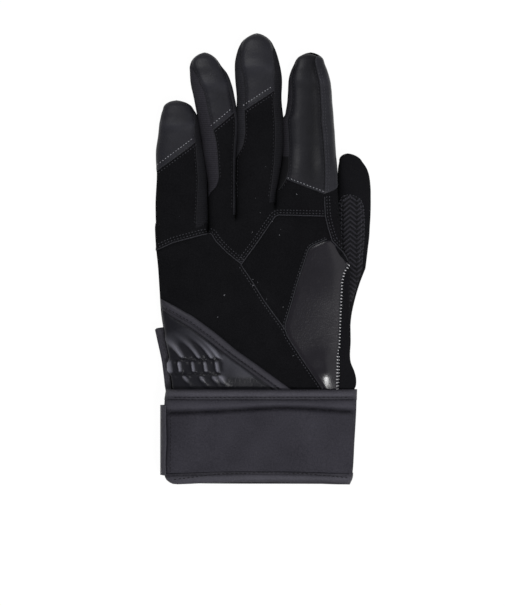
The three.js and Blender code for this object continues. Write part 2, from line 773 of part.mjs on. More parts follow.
// The bound edge of the wrist's opening stands out beyond the little-finger edge.
const slitBindingShares = [0.33, 0.27, 0.21, 0.13, 0.07, 0.012];
const slitBindingRows = slitBindingShares.map((share) => {
  const row = palmRowAt(along(share));
  const taper = lerp(0.6, 1, share / slitBindingShares[0]);
  const z = row.leftZ - slitOpening - slitBindingThickness / 2;
  const right = row.left - fitGap / 2;
  return {
    y: along(share),
    left: right - slitBindingWidth * taper,
    right,
    half: slitBindingThickness / 2,
    leftZ: z,
    rightZ: z,
    power: tipPowerShare,
  };
}).reverse();
addPart("slit_binding", ovalSkin(slitBindingRows, 0, 10), bindingCloth);

// The origin is under the middle of the glove, on the floor.
const box = new THREE.Box3().setFromObject(parts);
const middle = box.getCenter(new THREE.Vector3());
parts.position.set(-middle.x, -middle.y, -box.min.z);

const glove = new THREE.Group();
glove.add(parts);
export default glove;
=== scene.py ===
# %% [markdown]
# A thin leather fielding glove, of the kind worn under a mitt, lies palm up on a pale table.
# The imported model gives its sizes, bodies and joints. This script sews the visible glove over it:
# suede palm panels, leather fingertips, knit strips between the fingers and a neoprene cuff.

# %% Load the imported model
import json
import math
import bpy
import numpy as np
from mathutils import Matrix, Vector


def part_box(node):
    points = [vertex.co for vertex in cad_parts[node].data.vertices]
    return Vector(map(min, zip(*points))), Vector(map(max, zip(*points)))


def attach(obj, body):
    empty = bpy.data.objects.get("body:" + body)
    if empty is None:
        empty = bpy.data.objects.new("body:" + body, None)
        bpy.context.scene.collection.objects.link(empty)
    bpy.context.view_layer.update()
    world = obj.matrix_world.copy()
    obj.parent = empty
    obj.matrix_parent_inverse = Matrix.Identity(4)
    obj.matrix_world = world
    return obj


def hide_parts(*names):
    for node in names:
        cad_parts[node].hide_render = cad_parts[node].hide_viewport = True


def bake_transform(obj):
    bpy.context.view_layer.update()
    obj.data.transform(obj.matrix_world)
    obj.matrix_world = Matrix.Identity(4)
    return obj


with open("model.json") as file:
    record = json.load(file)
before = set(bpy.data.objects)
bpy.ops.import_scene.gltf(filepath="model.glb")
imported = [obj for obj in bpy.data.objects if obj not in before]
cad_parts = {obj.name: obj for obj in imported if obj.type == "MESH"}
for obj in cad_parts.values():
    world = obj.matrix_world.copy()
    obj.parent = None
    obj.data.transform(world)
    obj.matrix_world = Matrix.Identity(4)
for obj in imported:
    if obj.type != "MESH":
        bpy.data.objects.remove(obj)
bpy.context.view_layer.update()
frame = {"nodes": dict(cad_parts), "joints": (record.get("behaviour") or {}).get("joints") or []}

# %% [markdown]
# Every length is in metres. The hand is drawn in shares of the palm: across it from the edge of
# the little finger, and along it from the top of the cuff. Two helpers turn shares into places.

# %% Driving sizes, in metres
MM = 0.001
palm_width = 102 * MM
palm_length = 102.3 * MM
palm_half = 8.5 * MM
palm_edge_height = 7 * MM
cuff_middle = 13.25 * MM
thumb_side_rise = 9 * MM
cuff_height = 52.3 * MM
cuff_half = 10 * MM
leather = 1.2 * MM
neoprene = 2.7 * MM
grid_step = 0.8 * MM

cuff_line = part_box("cuff_top_binding")[1].y
palm_left = -59.21 * MM
palm_start = -0.145  # share of the palm's length: its panels start inside the cuff
joints = {joint["name"]: joint for joint in frame["joints"]}


def across(share):
    return palm_left + share * palm_width


def along(share):
    return cuff_line + share * palm_length


def mix(a, b, share):
    return a + (b - a) * share


def ease(share):
    """A share from 0 to 1 that starts and ends gently."""
    share = np.clip(share, 0, 1)
    return share * share * (3 - 2 * share)


print("cuff line at", round(cuff_line / MM, 2), "mm")

# %% [markdown]
# The camera looks straight down through a long lens, so the outline is nearly undistorted.
# One pixel of the photograph is 0.55 mm here.

# %% Camera
pixel = 0.55 * MM
photo_height = 606
view_centre_x = -5.59 * MM
view_centre_y = -24.45 * MM
camera_height = 2.4
sensor = 24

camera_data = bpy.data.cameras.new("camera")
camera_data.sensor_fit = "VERTICAL"
camera_data.sensor_height = sensor
camera_data.lens = sensor * camera_height / (photo_height * pixel)
camera_data.clip_end = 20
camera = bpy.data.objects.new("camera", camera_data)
bpy.context.scene.collection.objects.link(camera)
camera.location = (view_centre_x, view_centre_y, camera_height + palm_half)
bpy.context.scene.camera = camera
print("lens", round(camera_data.lens, 1), "mm")

# %% [markdown]
# Tables of a few rows describe each outline. A smooth curve is run through the rows, so that a
# finger has no corners where its width changes.

# %% Smooth tables


def smooth(table, at):
    """Reads a table between its rows. The first number of a row is its place."""
    rows = np.array(sorted(table), float)
    places, values = rows[:, 0], rows[:, 1:]
    slopes = np.gradient(values, places, axis=0)
    at = np.clip(at, places[0], places[-1])
    k = np.clip(np.searchsorted(places, at, side="right") - 1, 0, len(places) - 2)
    width = (places[k + 1] - places[k])[..., None]
    t = ((at - places[k]) / (places[k + 1] - places[k]))[..., None]
    start = (2 * t ** 3 - 3 * t ** 2 + 1) * values[k] + (t ** 3 - 2 * t ** 2 + t) * width * slopes[k]
    end = (3 * t ** 2 - 2 * t ** 3) * values[k + 1] + (t ** 3 - t ** 2) * width * slopes[k + 1]
    return start + end


def value_noise(x, y, seed):
    """Soft bumps between -1 and 1, one apart, the same at every run."""
    lattice = np.random.default_rng(seed).uniform(-1, 1, (64, 64))
    i, j = np.floor(x).astype(int), np.floor(y).astype(int)
    u, v = ease(x - i), ease(y - j)
    low = mix(lattice[i % 64, j % 64], lattice[(i + 1) % 64, j % 64], u)
    high = mix(lattice[i % 64, (j + 1) % 64], lattice[(i + 1) % 64, (j + 1) % 64], u)
    return mix(low, high, v)


# %% [markdown]
# A form is a soft tube through oval sections, like the hand that the glove is cut for. A point
# on it is given by an angle round the section, which is 0 at the thumb's side, a quarter turn on
# the palm and half a turn at the little finger's side, and by a place along the tube.

# %% Forms


def unit(vectors, least=1e-12):
    return vectors / np.maximum(np.linalg.norm(vectors, axis=-1, keepdims=True), least)


class Form:
    """Its section gives, for a place: y, left and right x, half height, z at both sides, roundness."""

    def __init__(self, section):
        self.section = section

    def point(self, angle, place):
        y, left, right, half, left_z, right_z, power = self.section(place)
        side = np.cos(angle)
        rise = (1 - np.abs(side) ** power) ** (1 / power) * np.sign(np.sin(angle))
        share = (side + 1) / 2
        z = mix(left_z, right_z, share) + half * rise
        return np.stack([mix(left, right, share), y, np.maximum(z, 0)], -1)

    def normal(self, angle, place):
        """Direction straight out of the form."""
        small = 1e-3
        round_it = self.point(angle + small, place) - self.point(angle - small, place)
        along_it = self.point(angle, place + small) - self.point(angle, place - small)
        return unit(np.cross(along_it, round_it) * np.sign(along_it[..., 1:2]))

    def angle_at(self, x, place):
        left, right = self.section(place)[1:3]
        return np.arccos(np.clip(2 * (x - left) / (right - left) - 1, -1, 1))


oval_power = 2.8
sleeve_inset = 3.1 * MM
sleeve_left_share = 0.057 + sleeve_inset / palm_width
sleeve_right_share = 1.083 - sleeve_inset / palm_width
# Place along the palm, left edge, right edge, thickness, lift of the left edge, tilt.
palm_shares = [
    [1.2, 0.0, 0.987, 1.0, 0.0, 0.92],
    [1.03, 0.003, 0.987, 1.0, 0.0, 0.95],
    [0.866, -0.001, 0.999, 1.03, 0.03, 1.0],
    [0.747, 0.006, 1.016, 1.05, 0.1, 0.97],
    [0.672, 0.014, 1.045, 1.06, 0.16, 0.9],
    [0.532, 0.024, 1.047, 1.06, 0.33, 0.78],
    [0.414, 0.032, 1.051, 1.03, 0.5, 0.6],
    [0.263, 0.056, 1.054, 0.96, 0.68, 0.38],
    [0.14, 0.076, 1.056, 0.87, 0.85, 0.16],
    [0.09, 0.08, 1.076, 0.85, 0.92, 0.09],
    [0.05, 0.083, 1.084, 0.83, 0.96, 0.04],
    [0.015, 0.085, 1.081, 0.82, 0.99, 0.01],
    [-0.005, sleeve_left_share, 1.072, 0.812, 1, 0],
    [-0.04, sleeve_left_share, sleeve_right_share, 0.812, 1, 0],
    [palm_start, sleeve_left_share, sleeve_right_share, 0.812, 1, 0],
]


def palm_section(place):
    left, right, thickness, lift, tilt = np.moveaxis(smooth(palm_shares, place), -1, 0)
    left_z = mix(palm_edge_height, cuff_middle, lift)
    right_z = left_z + tilt * thumb_side_rise
    return along(place), across(left), across(right), thickness * palm_half, left_z, right_z, oval_power


palm_form = Form(palm_section)

# Height of the seam at the thumb's edge, as a share of the palm's own section there.
right_seam_shares = [
    [-0.2, 0], [0.129, -0.1], [0.414, -0.55], [0.6, -0.95], [0.7, -0.2], [0.8, 0], [1.3, 0],
]


def right_seam_angle(place):
    rise = np.clip(np.abs(np.interp(place, *np.array(right_seam_shares).T)), 0, 0.98)
    return -np.arccos((1 - rise ** oval_power) ** (1 / oval_power))


past_edge_rate = 12  # radians of turn per share of half the palm's width


def palm_angle(share, place):
    """Angle on the palm of a place across it. Past the thumb's edge it runs on, down to the seam."""
    left, right = palm_section(place)[1:3]
    side = 2 * (across(share) - left) / (right - left) - 1
    over = np.maximum(side - 1, 0)
    inside = np.arccos(np.clip(side, -1, 1))
    return np.where(side > 1, -np.minimum(past_edge_rate * over, -right_seam_angle(place)), inside)


print("palm", round(float(palm_form.point(np.array(1.57), np.array(0.5))[2]) / MM, 1), "mm high")

# %% [markdown]
# The four fingers hold a slack hand, so each leans and narrows in its own way. A row of a
# profile gives place along the finger, half width and shift to the side. A strip's row gives
# place and how far the strip's seam is from the middle line.

# %% The fingers' forms
fingers = {
    "pinky": {
        "length": 70.4 * MM, "width": 29.2 * MM, "middle": 0.144, "base": 0.866,
        "base_half": 0.84, "tip_half": 0.66, "floor": 0.1,
        "fuller": [[0, -0.35, 0.1], [0.08, -0.1, 0.4], [0.2, 0.05, 0.42], [0.6, 0, 0.28], [0.85, 0, 0]],
        "profile": [
            [0, 0.99, 0], [0.19, 0.99, 0], [0.38, 0.95, 0.005], [0.61, 0.89, -0.04],
            [0.73, 0.81, -0.04], [0.84, 0.74, -0.04], [0.89, 0.67, -0.05], [0.94, 0.56, -0.07],
            [1, 0.5, -0.1],
        ],
        "right": [[-0.1, 0.5], [0.3, 0.6], [0.6, 0.68], [0.84, 0.78], [0.93, 0.95], [0.96, 1]],
        "patch": [0.445, 0.711],
    },
    "ring": {
        "length": 89.1 * MM, "width": 22.2 * MM, "middle": 0.3625, "base": 0.941,
        "base_half": 0.96, "tip_half": 0.66, "floor": 0.22,
        "fuller": [
            [0, 0.1, 0.1], [0.08, 0.2, 0.35], [0.2, 0.15, 0.4], [0.3, 0.9, 0.5], [0.42, 1.4, 0.5],
            [0.52, 1.3, 0.6], [0.6, 0.85, 0.95], [0.66, 0.4, 1.1], [0.73, 0.1, 0.8], [0.8, 0, 0.4],
            [0.88, 0, 0],
        ],
        "profile": [
            [0, 0.66, 0], [0.33, 0.71, -0.03], [0.58, 0.92, -0.1], [0.65, 0.95, -0.165],
            [0.73, 0.98, -0.225], [0.8, 1, -0.285], [0.88, 0.9, -0.36], [0.91, 0.81, -0.41],
            [0.95, 0.66, -0.435], [1, 0.5, -0.44],
        ],
        "left": [
            [-0.1, -1], [0.1, -1], [0.13, -0.86], [0.16, -0.5], [0.2, -0.27], [0.28, -0.18],
            [0.43, -0.17], [0.56, -0.36], [0.82, -0.54], [0.93, -0.92], [0.96, -1],
        ],
        "right": [[-0.1, 0.8], [0.6, 0.84], [0.85, 0.86], [0.93, 0.96], [0.96, 1]],
        "patch": [0.45, 0.641],
    },
    "middle": {
        "length": 93.5 * MM, "width": 25.8 * MM, "middle": 0.5425, "base": 1.0,
        "base_half": 1.0, "tip_half": 0.66, "floor": 0.36,
        "fuller": [
            [0, 0.6, 0.3], [0.09, 1.1, 0.45], [0.18, 1.4, 0.5], [0.28, 1.5, 0.6], [0.37, 1.2, 0.8],
            [0.46, 1.0, 1.0], [0.51, 1.0, 0.8], [0.56, 0.7, 0.4], [0.62, 0.2, 0.1], [0.85, 0, 0],
        ],
        "profile": [
            [0, 0.795, 0], [0.31, 0.92, 0.105], [0.49, 0.92, 0.1], [0.6, 0.94, 0.08],
            [0.75, 1, 0.06], [0.84, 0.93, 0.03], [0.91, 0.785, 0.02], [0.95, 0.65, 0.02],
            [1, 0.5, 0.03],
        ],
        "left": [
            [-0.1, -1], [0.26, -1], [0.29, -0.9], [0.32, -0.78], [0.38, -0.68], [0.49, -0.66],
            [0.76, -0.66], [0.93, -0.93], [0.96, -1],
        ],
        "right": [[-0.1, 0.72], [0.73, 0.7], [0.84, 0.78], [0.93, 0.96], [0.96, 1]],
        "patch": [0.516, 0.688],
    },
    "index": {
        "length": 79.2 * MM, "width": 33 * MM, "middle": 0.8175, "base": 1.038,
        "base_half": 0.94, "tip_half": 0.66, "floor": 0.88,
        "fuller": [
            [0, 0.4, 0.3], [0.1, 0.3, 0.9], [0.2, 0.4, 1.1], [0.33, 0.65, 0.6], [0.44, 1.2, 0.2],
            [0.5, 1.6, 0], [0.535, 1.7, 0], [0.56, 0.5, 0], [0.6, 0.1, 0], [0.85, 0, 0],
        ],
        "profile": [
            [0, 1, 0], [0.32, 0.84, 0.045], [0.44, 0.825, 0.05], [0.57, 0.795, 0.05],
            [0.65, 0.76, 0.05], [0.74, 0.73, 0.05], [0.82, 0.68, 0.045], [0.87, 0.61, 0.045],
            [0.92, 0.51, 0.05], [1, 0.4, 0.07],
        ],
        "left": [
            [-0.1, -1], [0.02, -1], [0.06, -0.88], [0.1, -0.79], [0.3, -0.77], [0.5, -0.79],
            [0.8, -0.84], [0.93, -0.95], [0.96, -1],
        ],
        "right": [
            [-0.1, 0.56], [0.35, 0.55], [0.6, 0.5], [0.82, 0.45], [0.9, 0.4], [0.95, 0.42], [1, 0.9],
        ],
        "patch": [0.134, -0.018],
    },
}
# Place along a finger and its thickness there: the tips grow thinner before they close.
dome = [[0, 1], [0.84, 1], [0.91, 0.9], [0.94, 0.8], [1, 0.7]]
tip_start = 0.94
tip_bluntness = 0.6
sag_end = 0.75
outer_join_rate = 3
base_power, tip_power = 3.4, 2.4
root_share = 0.35
root_overlap = 0.035
root_sink = 0.25 * MM
finger_borders = [0.288, 0.4345, 0.647]


def round_off(place):
    """Closes a tube in a round end between the start of its tip and 1."""
    past = np.clip((place - tip_start) / (1 - tip_start), 0, 1)
    return (1 - past ** 2) ** tip_bluntness


class Finger(Form):
    def __init__(self, finger):
        self.finger = finger
        super().__init__(self.finger_section)

    def finger_section(self, place):
        finger = self.finger
        y = along(finger["base"]) + np.minimum(place, 1) * finger["length"]
        place = np.clip(place, 0, 1)
        half_share, shift = np.moveaxis(smooth(finger["profile"], place), -1, 0)
        closing = round_off(place)
        half_width = half_share * finger["width"] / 2 * closing
        middle = across(finger["middle"]) + shift * finger["width"]
        fuller_left, fuller_right = np.moveaxis(smooth(finger["fuller"], place), -1, 0) * MM
        half_width = half_width + (fuller_left + fuller_right) / 2
        middle = middle + (fuller_right - fuller_left) / 2
        full = mix(finger["base_half"], finger["tip_half"], place) * palm_half
        sag = np.maximum(0, 1 - place / sag_end) ** 1.5
        z = finger["floor"] * palm_edge_height * sag + full
        half = full * smooth(dome, place)[..., 0] * closing
        power = mix(base_power, tip_power, np.minimum(1, place / root_share))
        return y, middle - half_width, middle + half_width, half, z, z, power

    def point(self, angle, place):
        """Near its root the finger's palm side runs into the palm without a step."""
        made = super().point(angle, place)
        palm_place = np.clip((made[..., 1] - cuff_line) / palm_length, 0, 1.2)
        palm_top = palm_form.point(palm_form.angle_at(made[..., 0], palm_place), palm_place)[..., 2]
        half, middle_z = self.section(place)[3:5]
        raised = np.clip((made[..., 2] - middle_z) / np.maximum(half, 0.1 * MM), 0, 1)
        sooner = np.clip(raised * outer_join_rate, 0, 1)
        raised = np.where(self.outer_half(made[..., 0]), sooner, raised)
        joined = middle_z + (palm_top - middle_z) * raised
        share = (1 - ease(place / root_share)) * (np.sin(angle) > 0)
        made[..., 2] = mix(made[..., 2], joined, share)
        return made

    def outer_half(self, x):
        """The half of the first and of the last finger that no other finger faces."""
        shares, middle = (x - palm_left) / palm_width, self.finger["middle"]
        if middle < finger_borders[0]:
            return shares < middle
        if middle > finger_borders[-1]:
            return shares > middle
        return np.zeros_like(shares, bool)


class Thumb(Form):
    """The thumb lies flat on the table, partly under the edge of the palm."""
    length, width, half = 63.2 * MM, 19.4 * MM, 5.4 * MM
    middle, base = 1.0675, 0.651
    profile = [
        [0, 0.92, -0.1], [0.16, 0.96, -0.05], [0.35, 0.97, 0], [0.6, 0.97, 0.02],
        [0.77, 0.93, 0.02], [0.82, 0.89, 0.01], [0.88, 0.8, -0.02], [0.93, 0.66, -0.06],
        [1, 0.55, -0.14],
    ]

    def __init__(self):
        super().__init__(self.thumb_section)

    def thumb_section(self, place):
        place = np.clip(place, 0, 1)
        half_share, shift = np.moveaxis(smooth(self.profile, place), -1, 0)
        closing = round_off(place)
        half_width = half_share * self.width / 2 * closing
        middle = across(self.middle) + shift * self.width
        full = mix(1, 0.9, place) * self.half
        half = full * smooth(dome, place)[..., 0] * closing
        y = along(self.base) + place * self.length
        return y, middle - half_width, middle + half_width, half, full, full, tip_power


finger_forms = {name: Finger(finger) for name, finger in fingers.items()}
thumb_form = Thumb()


def gaps_between(first, second):
    """Gaps in mm between two neighbouring fingers, from the crotch up."""
    crotch = along(max(fingers[first]["base"], fingers[second]["base"]))
    heights = crotch + np.arange(0.01, 0.05, 0.006)
    edges = []
    for name, side in ((first, 2), (second, 1)):
        place = (heights - along(fingers[name]["base"])) / fingers[name]["length"]
        edges.append(finger_forms[name].section(place)[side])
    return [round(float(gap), 2) for gap in (edges[1] - edges[0]) / MM]


for first, second in (("pinky", "ring"), ("ring", "middle"), ("middle", "index")):
    print("gaps between", first, "and", second, gaps_between(first, second))

# Place along the palm, left and right edge, half thickness, lift.
thumb_root_start = 0.3
thumb_root_shares = [
    [thumb_form.base, 0.966, 1.137, 1.0, 0.0],
    [0.575, 0.95, 1.108, 1.1, 0.12],
    [0.5, 0.93, 1.083, 1.25, 0.35],
    [0.414, 0.92, 1.061, 1.3, 0.75],
    [thumb_root_start, 0.91, 1.05, 0.8, 1.35],
]
thumb_root_lift = 6.5 * MM


def thumb_root_section(place):
    left, right, half, lift = np.moveaxis(smooth(thumb_root_shares, place), -1, 0)
    z = thumb_form.half + lift * thumb_root_lift
    return along(place), across(left), across(right), half * thumb_form.half, z, z, tip_power


thumb_root_form = Form(thumb_root_section)
print("fingers:", {name: round(finger["length"] / MM) for name, finger in fingers.items()})

# %% [markdown]
# A glove is cut flat and sewn round the hand, so each panel here is a flat grid that is laid on
# its form. Four seam lines bound the panel, and the grid is stretched between them: this is a
# Coons patch. Edges that are sewn under another panel dip, and edges that lie on top are raised
# a little and rolled. Solidify then gives the leather its thickness.

# %% Laying a panel on its form


def resample(points, count, spread=None):
    """Stops along a line of points, evenly or as the spread's shares say."""
    points = np.array(points, float)
    lengths = np.r_[0, np.cumsum(np.hypot(*np.diff(points, axis=0).T))]
    at = np.linspace(0, 1, count) if spread is None else spread
    return np.stack([np.interp(at * lengths[-1], lengths, column) for column in points.T], -1)


def crowded(count, ends=0.75):
    """Shares from 0 to 1 that crowd at both ends, where a section turns steeply."""
    share = np.linspace(0, 1, count)
    return share - ends * np.sin(2 * math.pi * share) / (2 * math.pi)


def stretch_between(left, right, bottom, top, columns):
    """Grid of points between four edges. Left and right run along, bottom and top run across."""
    s = np.linspace(0, 1, len(left))[:, None, None]
    u = columns[None, :, None]
    sides = (1 - u) * left[:, None] + u * right[:, None]
    ends = (1 - s) * bottom[None] + s * top[None]
    corners = ((1 - u) * (1 - s) * left[0] + u * (1 - s) * right[0]
               + (1 - u) * s * left[-1] + u * s * right[-1])
    return sides + ends - corners


def relaxed(flat, columns, rounds=260):
    """Evens out the inside of a grid whose four edges stay, so that it has no folds."""
    gaps = np.diff(columns)
    next_share = (gaps[:-1] / (gaps[:-1] + gaps[1:]))[None, :, None]
    for _ in range(rounds):
        from_sides = mix(flat[1:-1, :-2], flat[1:-1, 2:], next_share)
        from_ends = (flat[:-2, 1:-1] + flat[2:, 1:-1]) / 2
        flat[1:-1, 1:-1] = (from_sides + from_ends) / 2
    return flat


def select_all(obj):
    bpy.ops.object.select_all(action="DESELECT")
    bpy.context.view_layer.objects.active = obj
    obj.select_set(True)


def grid_mesh(name, points, rise=None):
    """A flat grid from Blender with its corners at these points. It keeps how far they rise."""
    rows, columns = points.shape[:2]
    bpy.ops.object.select_all(action="DESELECT")
    bpy.ops.mesh.primitive_grid_add(x_subdivisions=columns - 1, y_subdivisions=rows - 1, size=1)
    obj = bpy.context.object
    obj.name = obj.data.name = name
    obj.data.vertices.foreach_set("co", points.reshape(-1).astype(np.float32))
    if rise is not None:
        raised = obj.data.attributes.new("raised", "FLOAT", "POINT")
        raised.data.foreach_set("value", (rise / MM).reshape(-1).astype(np.float32))
    obj.data.update()
    return obj


def in_edit_mode(obj, *steps):
    select_all(obj)
    bpy.ops.object.mode_set(mode="EDIT")
    bpy.ops.mesh.select_all(action="SELECT")
    for step, settings in steps:
        step(**settings)
    bpy.ops.object.mode_set(mode="OBJECT")


def delete_faces(obj, unwanted):
    select_all(obj)
    bpy.context.tool_settings.mesh_select_mode = (False, False, True)
    for parts in (obj.data.vertices, obj.data.edges):
        parts.foreach_set("select", np.zeros(len(parts), bool))
    obj.data.polygons.foreach_set("select", unwanted)
    bpy.ops.object.mode_set(mode="EDIT")
    bpy.ops.mesh.delete(type="FACE")
    bpy.ops.mesh.select_mode(type="VERT")
    bpy.ops.object.mode_set(mode="OBJECT")


def thicken(obj, thickness, offset=-1):
    select_all(obj)
    bpy.ops.object.modifier_add(type="SOLIDIFY")
    modifier = obj.modifiers[-1]
    modifier.thickness = thickness
    modifier.offset = offset
    modifier.use_even_offset = False
    bpy.ops.object.modifier_apply(modifier=modifier.name)
    bpy.ops.object.shade_smooth_by_angle(angle=math.radians(50))


def row_distances(points, axis):
    """Distances of a grid's points from its two ends, measured along its rows or columns."""
    steps = np.linalg.norm(np.diff(points, axis=axis), axis=-1)
    zero = np.zeros_like(np.take(steps, [0], axis=axis))
    before = np.concatenate([zero, np.cumsum(steps, axis=axis)], axis=axis)
    return before, np.take(before, [-1], axis=axis) - before


def grid_normals(points):
    return unit(np.cross(np.gradient(points, axis=1), np.gradient(points, axis=0)))


roll = 0.9 * MM
roll_depth = 0.35
groove_depth = 1.3
lap_reach = 2.6 * MM
lap_rise = 0.35 * MM


def edge_profile(distance, kind):
    """How far a panel stands out near an edge: lap lies on top, tuck goes under, butt is a groove."""
    to_edge = 1 - np.clip(distance / roll, 0, 1)
    rolled = -roll * roll_depth * (1 - np.sqrt(np.clip(1 - to_edge ** 2, 0, 1)))
    reach = 1 - ease(distance / lap_reach)
    if kind == "lap":
        return lap_rise * reach + rolled
    if kind == "tuck":
        return -lap_rise * reach
    if kind == "butt":
        return groove_depth * rolled
    return np.zeros_like(distance)


lap_over = 0.45 * MM
table_gap = 0.03 * MM
weld_distance = 0.02 * MM


def reach_over(points, kinds):
    """Lets each edge that lies on top reach a little past its seam."""
    sides = (
        (np.s_[:, 0], np.s_[:, 1]), (np.s_[:, -1], np.s_[:, -2]),
        (np.s_[0], np.s_[1]), (np.s_[-1], np.s_[-2]),
    )
    for kind, (border, inner) in zip(kinds, sides):
        if kind == "lap":
            points[border] += unit(points[border] - points[inner], 1e-9) * lap_over


def lay_panel(name, form, edges, columns, thickness=None, kinds=("butt",) * 4, shape=None,
              fade=None, even=False):
    """Lays a grid on a form. Edges are left, right, bottom, top, as points of angle and place.

    Shape adds its own relief, and fade says where the edges' relief fades out.
    """
    left, right, bottom, top = edges
    flat = stretch_between(left, right, bottom, top, columns)
    if even:
        flat = relaxed(flat, columns)
    points = form.point(flat[..., 0], flat[..., 1])
    normals = form.normal(flat[..., 0], flat[..., 1])
    from_left, to_right = row_distances(points, 1)
    from_bottom, to_top = row_distances(points, 0)
    rise = sum(edge_profile(distance, kind) for distance, kind
               in zip((from_left, to_right, from_bottom, to_top), kinds))
    if fade is not None:
        rise = rise * fade(flat)
    if shape is not None:
        rise = rise + shape(points, flat)
    y, left_x, right_x, _, left_z, right_z, _ = form.section(flat[..., 1])
    centre = np.stack([(left_x + right_x) / 2, y, (left_z + right_z) / 2 + 0 * y], -1)
    facing = np.sign(np.sum(grid_normals(points) * (points - centre), -1).mean())
    points = points + normals * rise[..., None]
    points[..., 2] = np.maximum(points[..., 2], table_gap)
    reach_over(points, kinds)
    if facing <= 0:
        points, rise = points[:, ::-1], rise[:, ::-1]
    obj = grid_mesh(name, points, rise)
    in_edit_mode(obj, (bpy.ops.mesh.remove_doubles, {"threshold": weld_distance}))
    thicken(obj, leather if thickness is None else thickness)
    return obj


print("grid step", grid_step / MM, "mm")

# %% [markdown]
# The palm's seams come from the photograph. Each is a short line of places across and along the
# palm. Neighbouring panels share the same line, so no gap opens between them.

# %% The palm's seam lines
knuckle_seam = [
    [0.0065, 0.7452], [0.029, 0.753], [0.1, 0.785], [0.257, 0.826], [0.302, 0.833], [0.327, 0.792],
    [0.387, 0.731], [0.466, 0.667], [0.55, 0.78], [0.647, 0.922], [0.663, 0.931], [0.912, 0.925],
]
index_seam = [[0.9515, 0.793], [0.93, 0.86], [0.914, 0.925], [0.911, 0.978], [0.909, 1.038]]
thenar_top_seam = [
    [0.925, 0.803], [0.9515, 0.793], [0.98, 0.762], [1.008, 0.735], [1.0235, 0.712], [1.0425, 0.675],
]
thenar_left_seam = [
    [0.705, 0.318], [0.702, 0.346], [0.764, 0.559], [0.826, 0.748], [0.842, 0.766], [0.925, 0.803],
]
heel_seam = [[0.705, 0.318], [0.588, 0.478], [0.518, 0.591], [0.466, 0.667]]
heel_right_seam = [[0.915, palm_start], [0.899, 0.011], [0.774, 0.194], [0.712, 0.29], [0.705, 0.318]]
whip_seam = [
    [0.981, palm_start], [0.982, 0.002], [0.986, 0.188], [0.996, 0.45],
    [1.0016, 0.573], [1.0135, 0.627], [1.032, 0.655], [1.0425, 0.675],
]
wrist_seam = [
    [0.0275, 0.487], [0.043, 0.48], [0.108, 0.446], [0.21, 0.389], [0.323, 0.306],
    [0.437, 0.212], [0.539, 0.14], [0.717, 0.011], [0.915, palm_start],
]
wrist_binding_seam = [
    [0.031, 0.4313], [0.043, 0.425], [0.097, 0.387], [0.192, 0.331], [0.286, 0.263],
    [0.392, 0.18], [0.539, 0.073], [0.631, 0.005], [0.83, palm_start],
]
finger_bases = [finger["base"] for finger in fingers.values()]
tuck_under_finger = 2.5 * MM / palm_length
crotch_reach = 5 * MM / palm_length


def on_palm(points, count, spread=None):
    """Points of a seam line as angle and place on the palm."""
    line = resample(points, count, spread)
    return np.stack([palm_angle(line[:, 0], line[:, 1]), line[:, 1]], -1)


def little_finger_side(start, end, count):
    return np.stack([np.full(count, math.pi), np.linspace(start, end, count)], -1)


def thumb_side(start, end, count):
    places = np.linspace(start, end, count)
    return np.stack([right_seam_angle(places), places], -1)


def palm_count(length_share):
    """How many grid steps fit in a share of the palm's length."""
    return max(4, int(length_share * palm_length / grid_step))


print("points of the knuckle seam:", len(knuckle_seam))

# %% [markdown]
# Worn suede is never flat. Broad soft bumps and a few long creases that fan out from the heel of
# the hand are added to every panel of the palm, so that they run on from one panel to the next.

# %% Creases of the palm
crease_lines = [
    [[0.02, 0.62], [0.2, 0.6], [0.4, 0.72], [0.5, 0.86]],
    [[0.3, 0.5], [0.45, 0.42], [0.62, 0.4], [0.72, 0.46]],
    [[0.66, 0.9], [0.72, 0.74], [0.7, 0.6], [0.62, 0.5]],
    [[0.16, 0.78], [0.2, 0.64], [0.22, 0.5]],
]
crease_depth = 0.3 * MM
crease_width = 4 * MM
bump_height = 0.35 * MM
bump_size = 17 * MM


def distance_to_line(x, y, line):
    points = np.array([[across(u), along(v)] for u, v in line])
    nearest = np.full(x.shape, 1.0)
    for a, b in zip(points[:-1], points[1:]):
        d = b - a
        t = np.clip(((x - a[0]) * d[0] + (y - a[1]) * d[1]) / (d @ d), 0, 1)
        nearest = np.minimum(nearest, np.hypot(x - a[0] - t * d[0], y - a[1] - t * d[1]))
    return nearest


def cloth_bumps(x, y, seed=3):
    broad = value_noise(x / bump_size + 40, y / bump_size + 40, seed)
    fine = value_noise(x / bump_size * 2.7 + 40, y / bump_size * 2.2 + 40, seed + 1)
    return bump_height * (0.65 * broad + 0.35 * fine)


def palm_creases(points, flat):
    """Bumps and creases that fade towards the cuff and the palm's sides."""
    x, y = points[..., 0], points[..., 1]
    rise = cloth_bumps(x, y)
    for line in crease_lines:
        rise = rise - crease_depth * np.exp(-((distance_to_line(x, y, line) / crease_width) ** 2) * 2)
    fading = ease((y - cuff_line) / (12 * MM)) * ease(2.5 * np.abs(np.sin(flat[..., 0])))
    return rise * fading


print("creases:", len(crease_lines))

# %% [markdown]
# The knuckle panel reaches from the zigzag seam up to the four fingers. Its grid stops at each
# finger's own base line, a little way under the finger, like the leather that is cut in one with
# the fingers on the real glove.

# %% Palm panels in suede
glove_pieces = {}


def palm_edge_shares(places):
    """Shares across the palm of its two edges."""
    rows = smooth(palm_shares, places)
    return rows[..., 0], rows[..., 1]


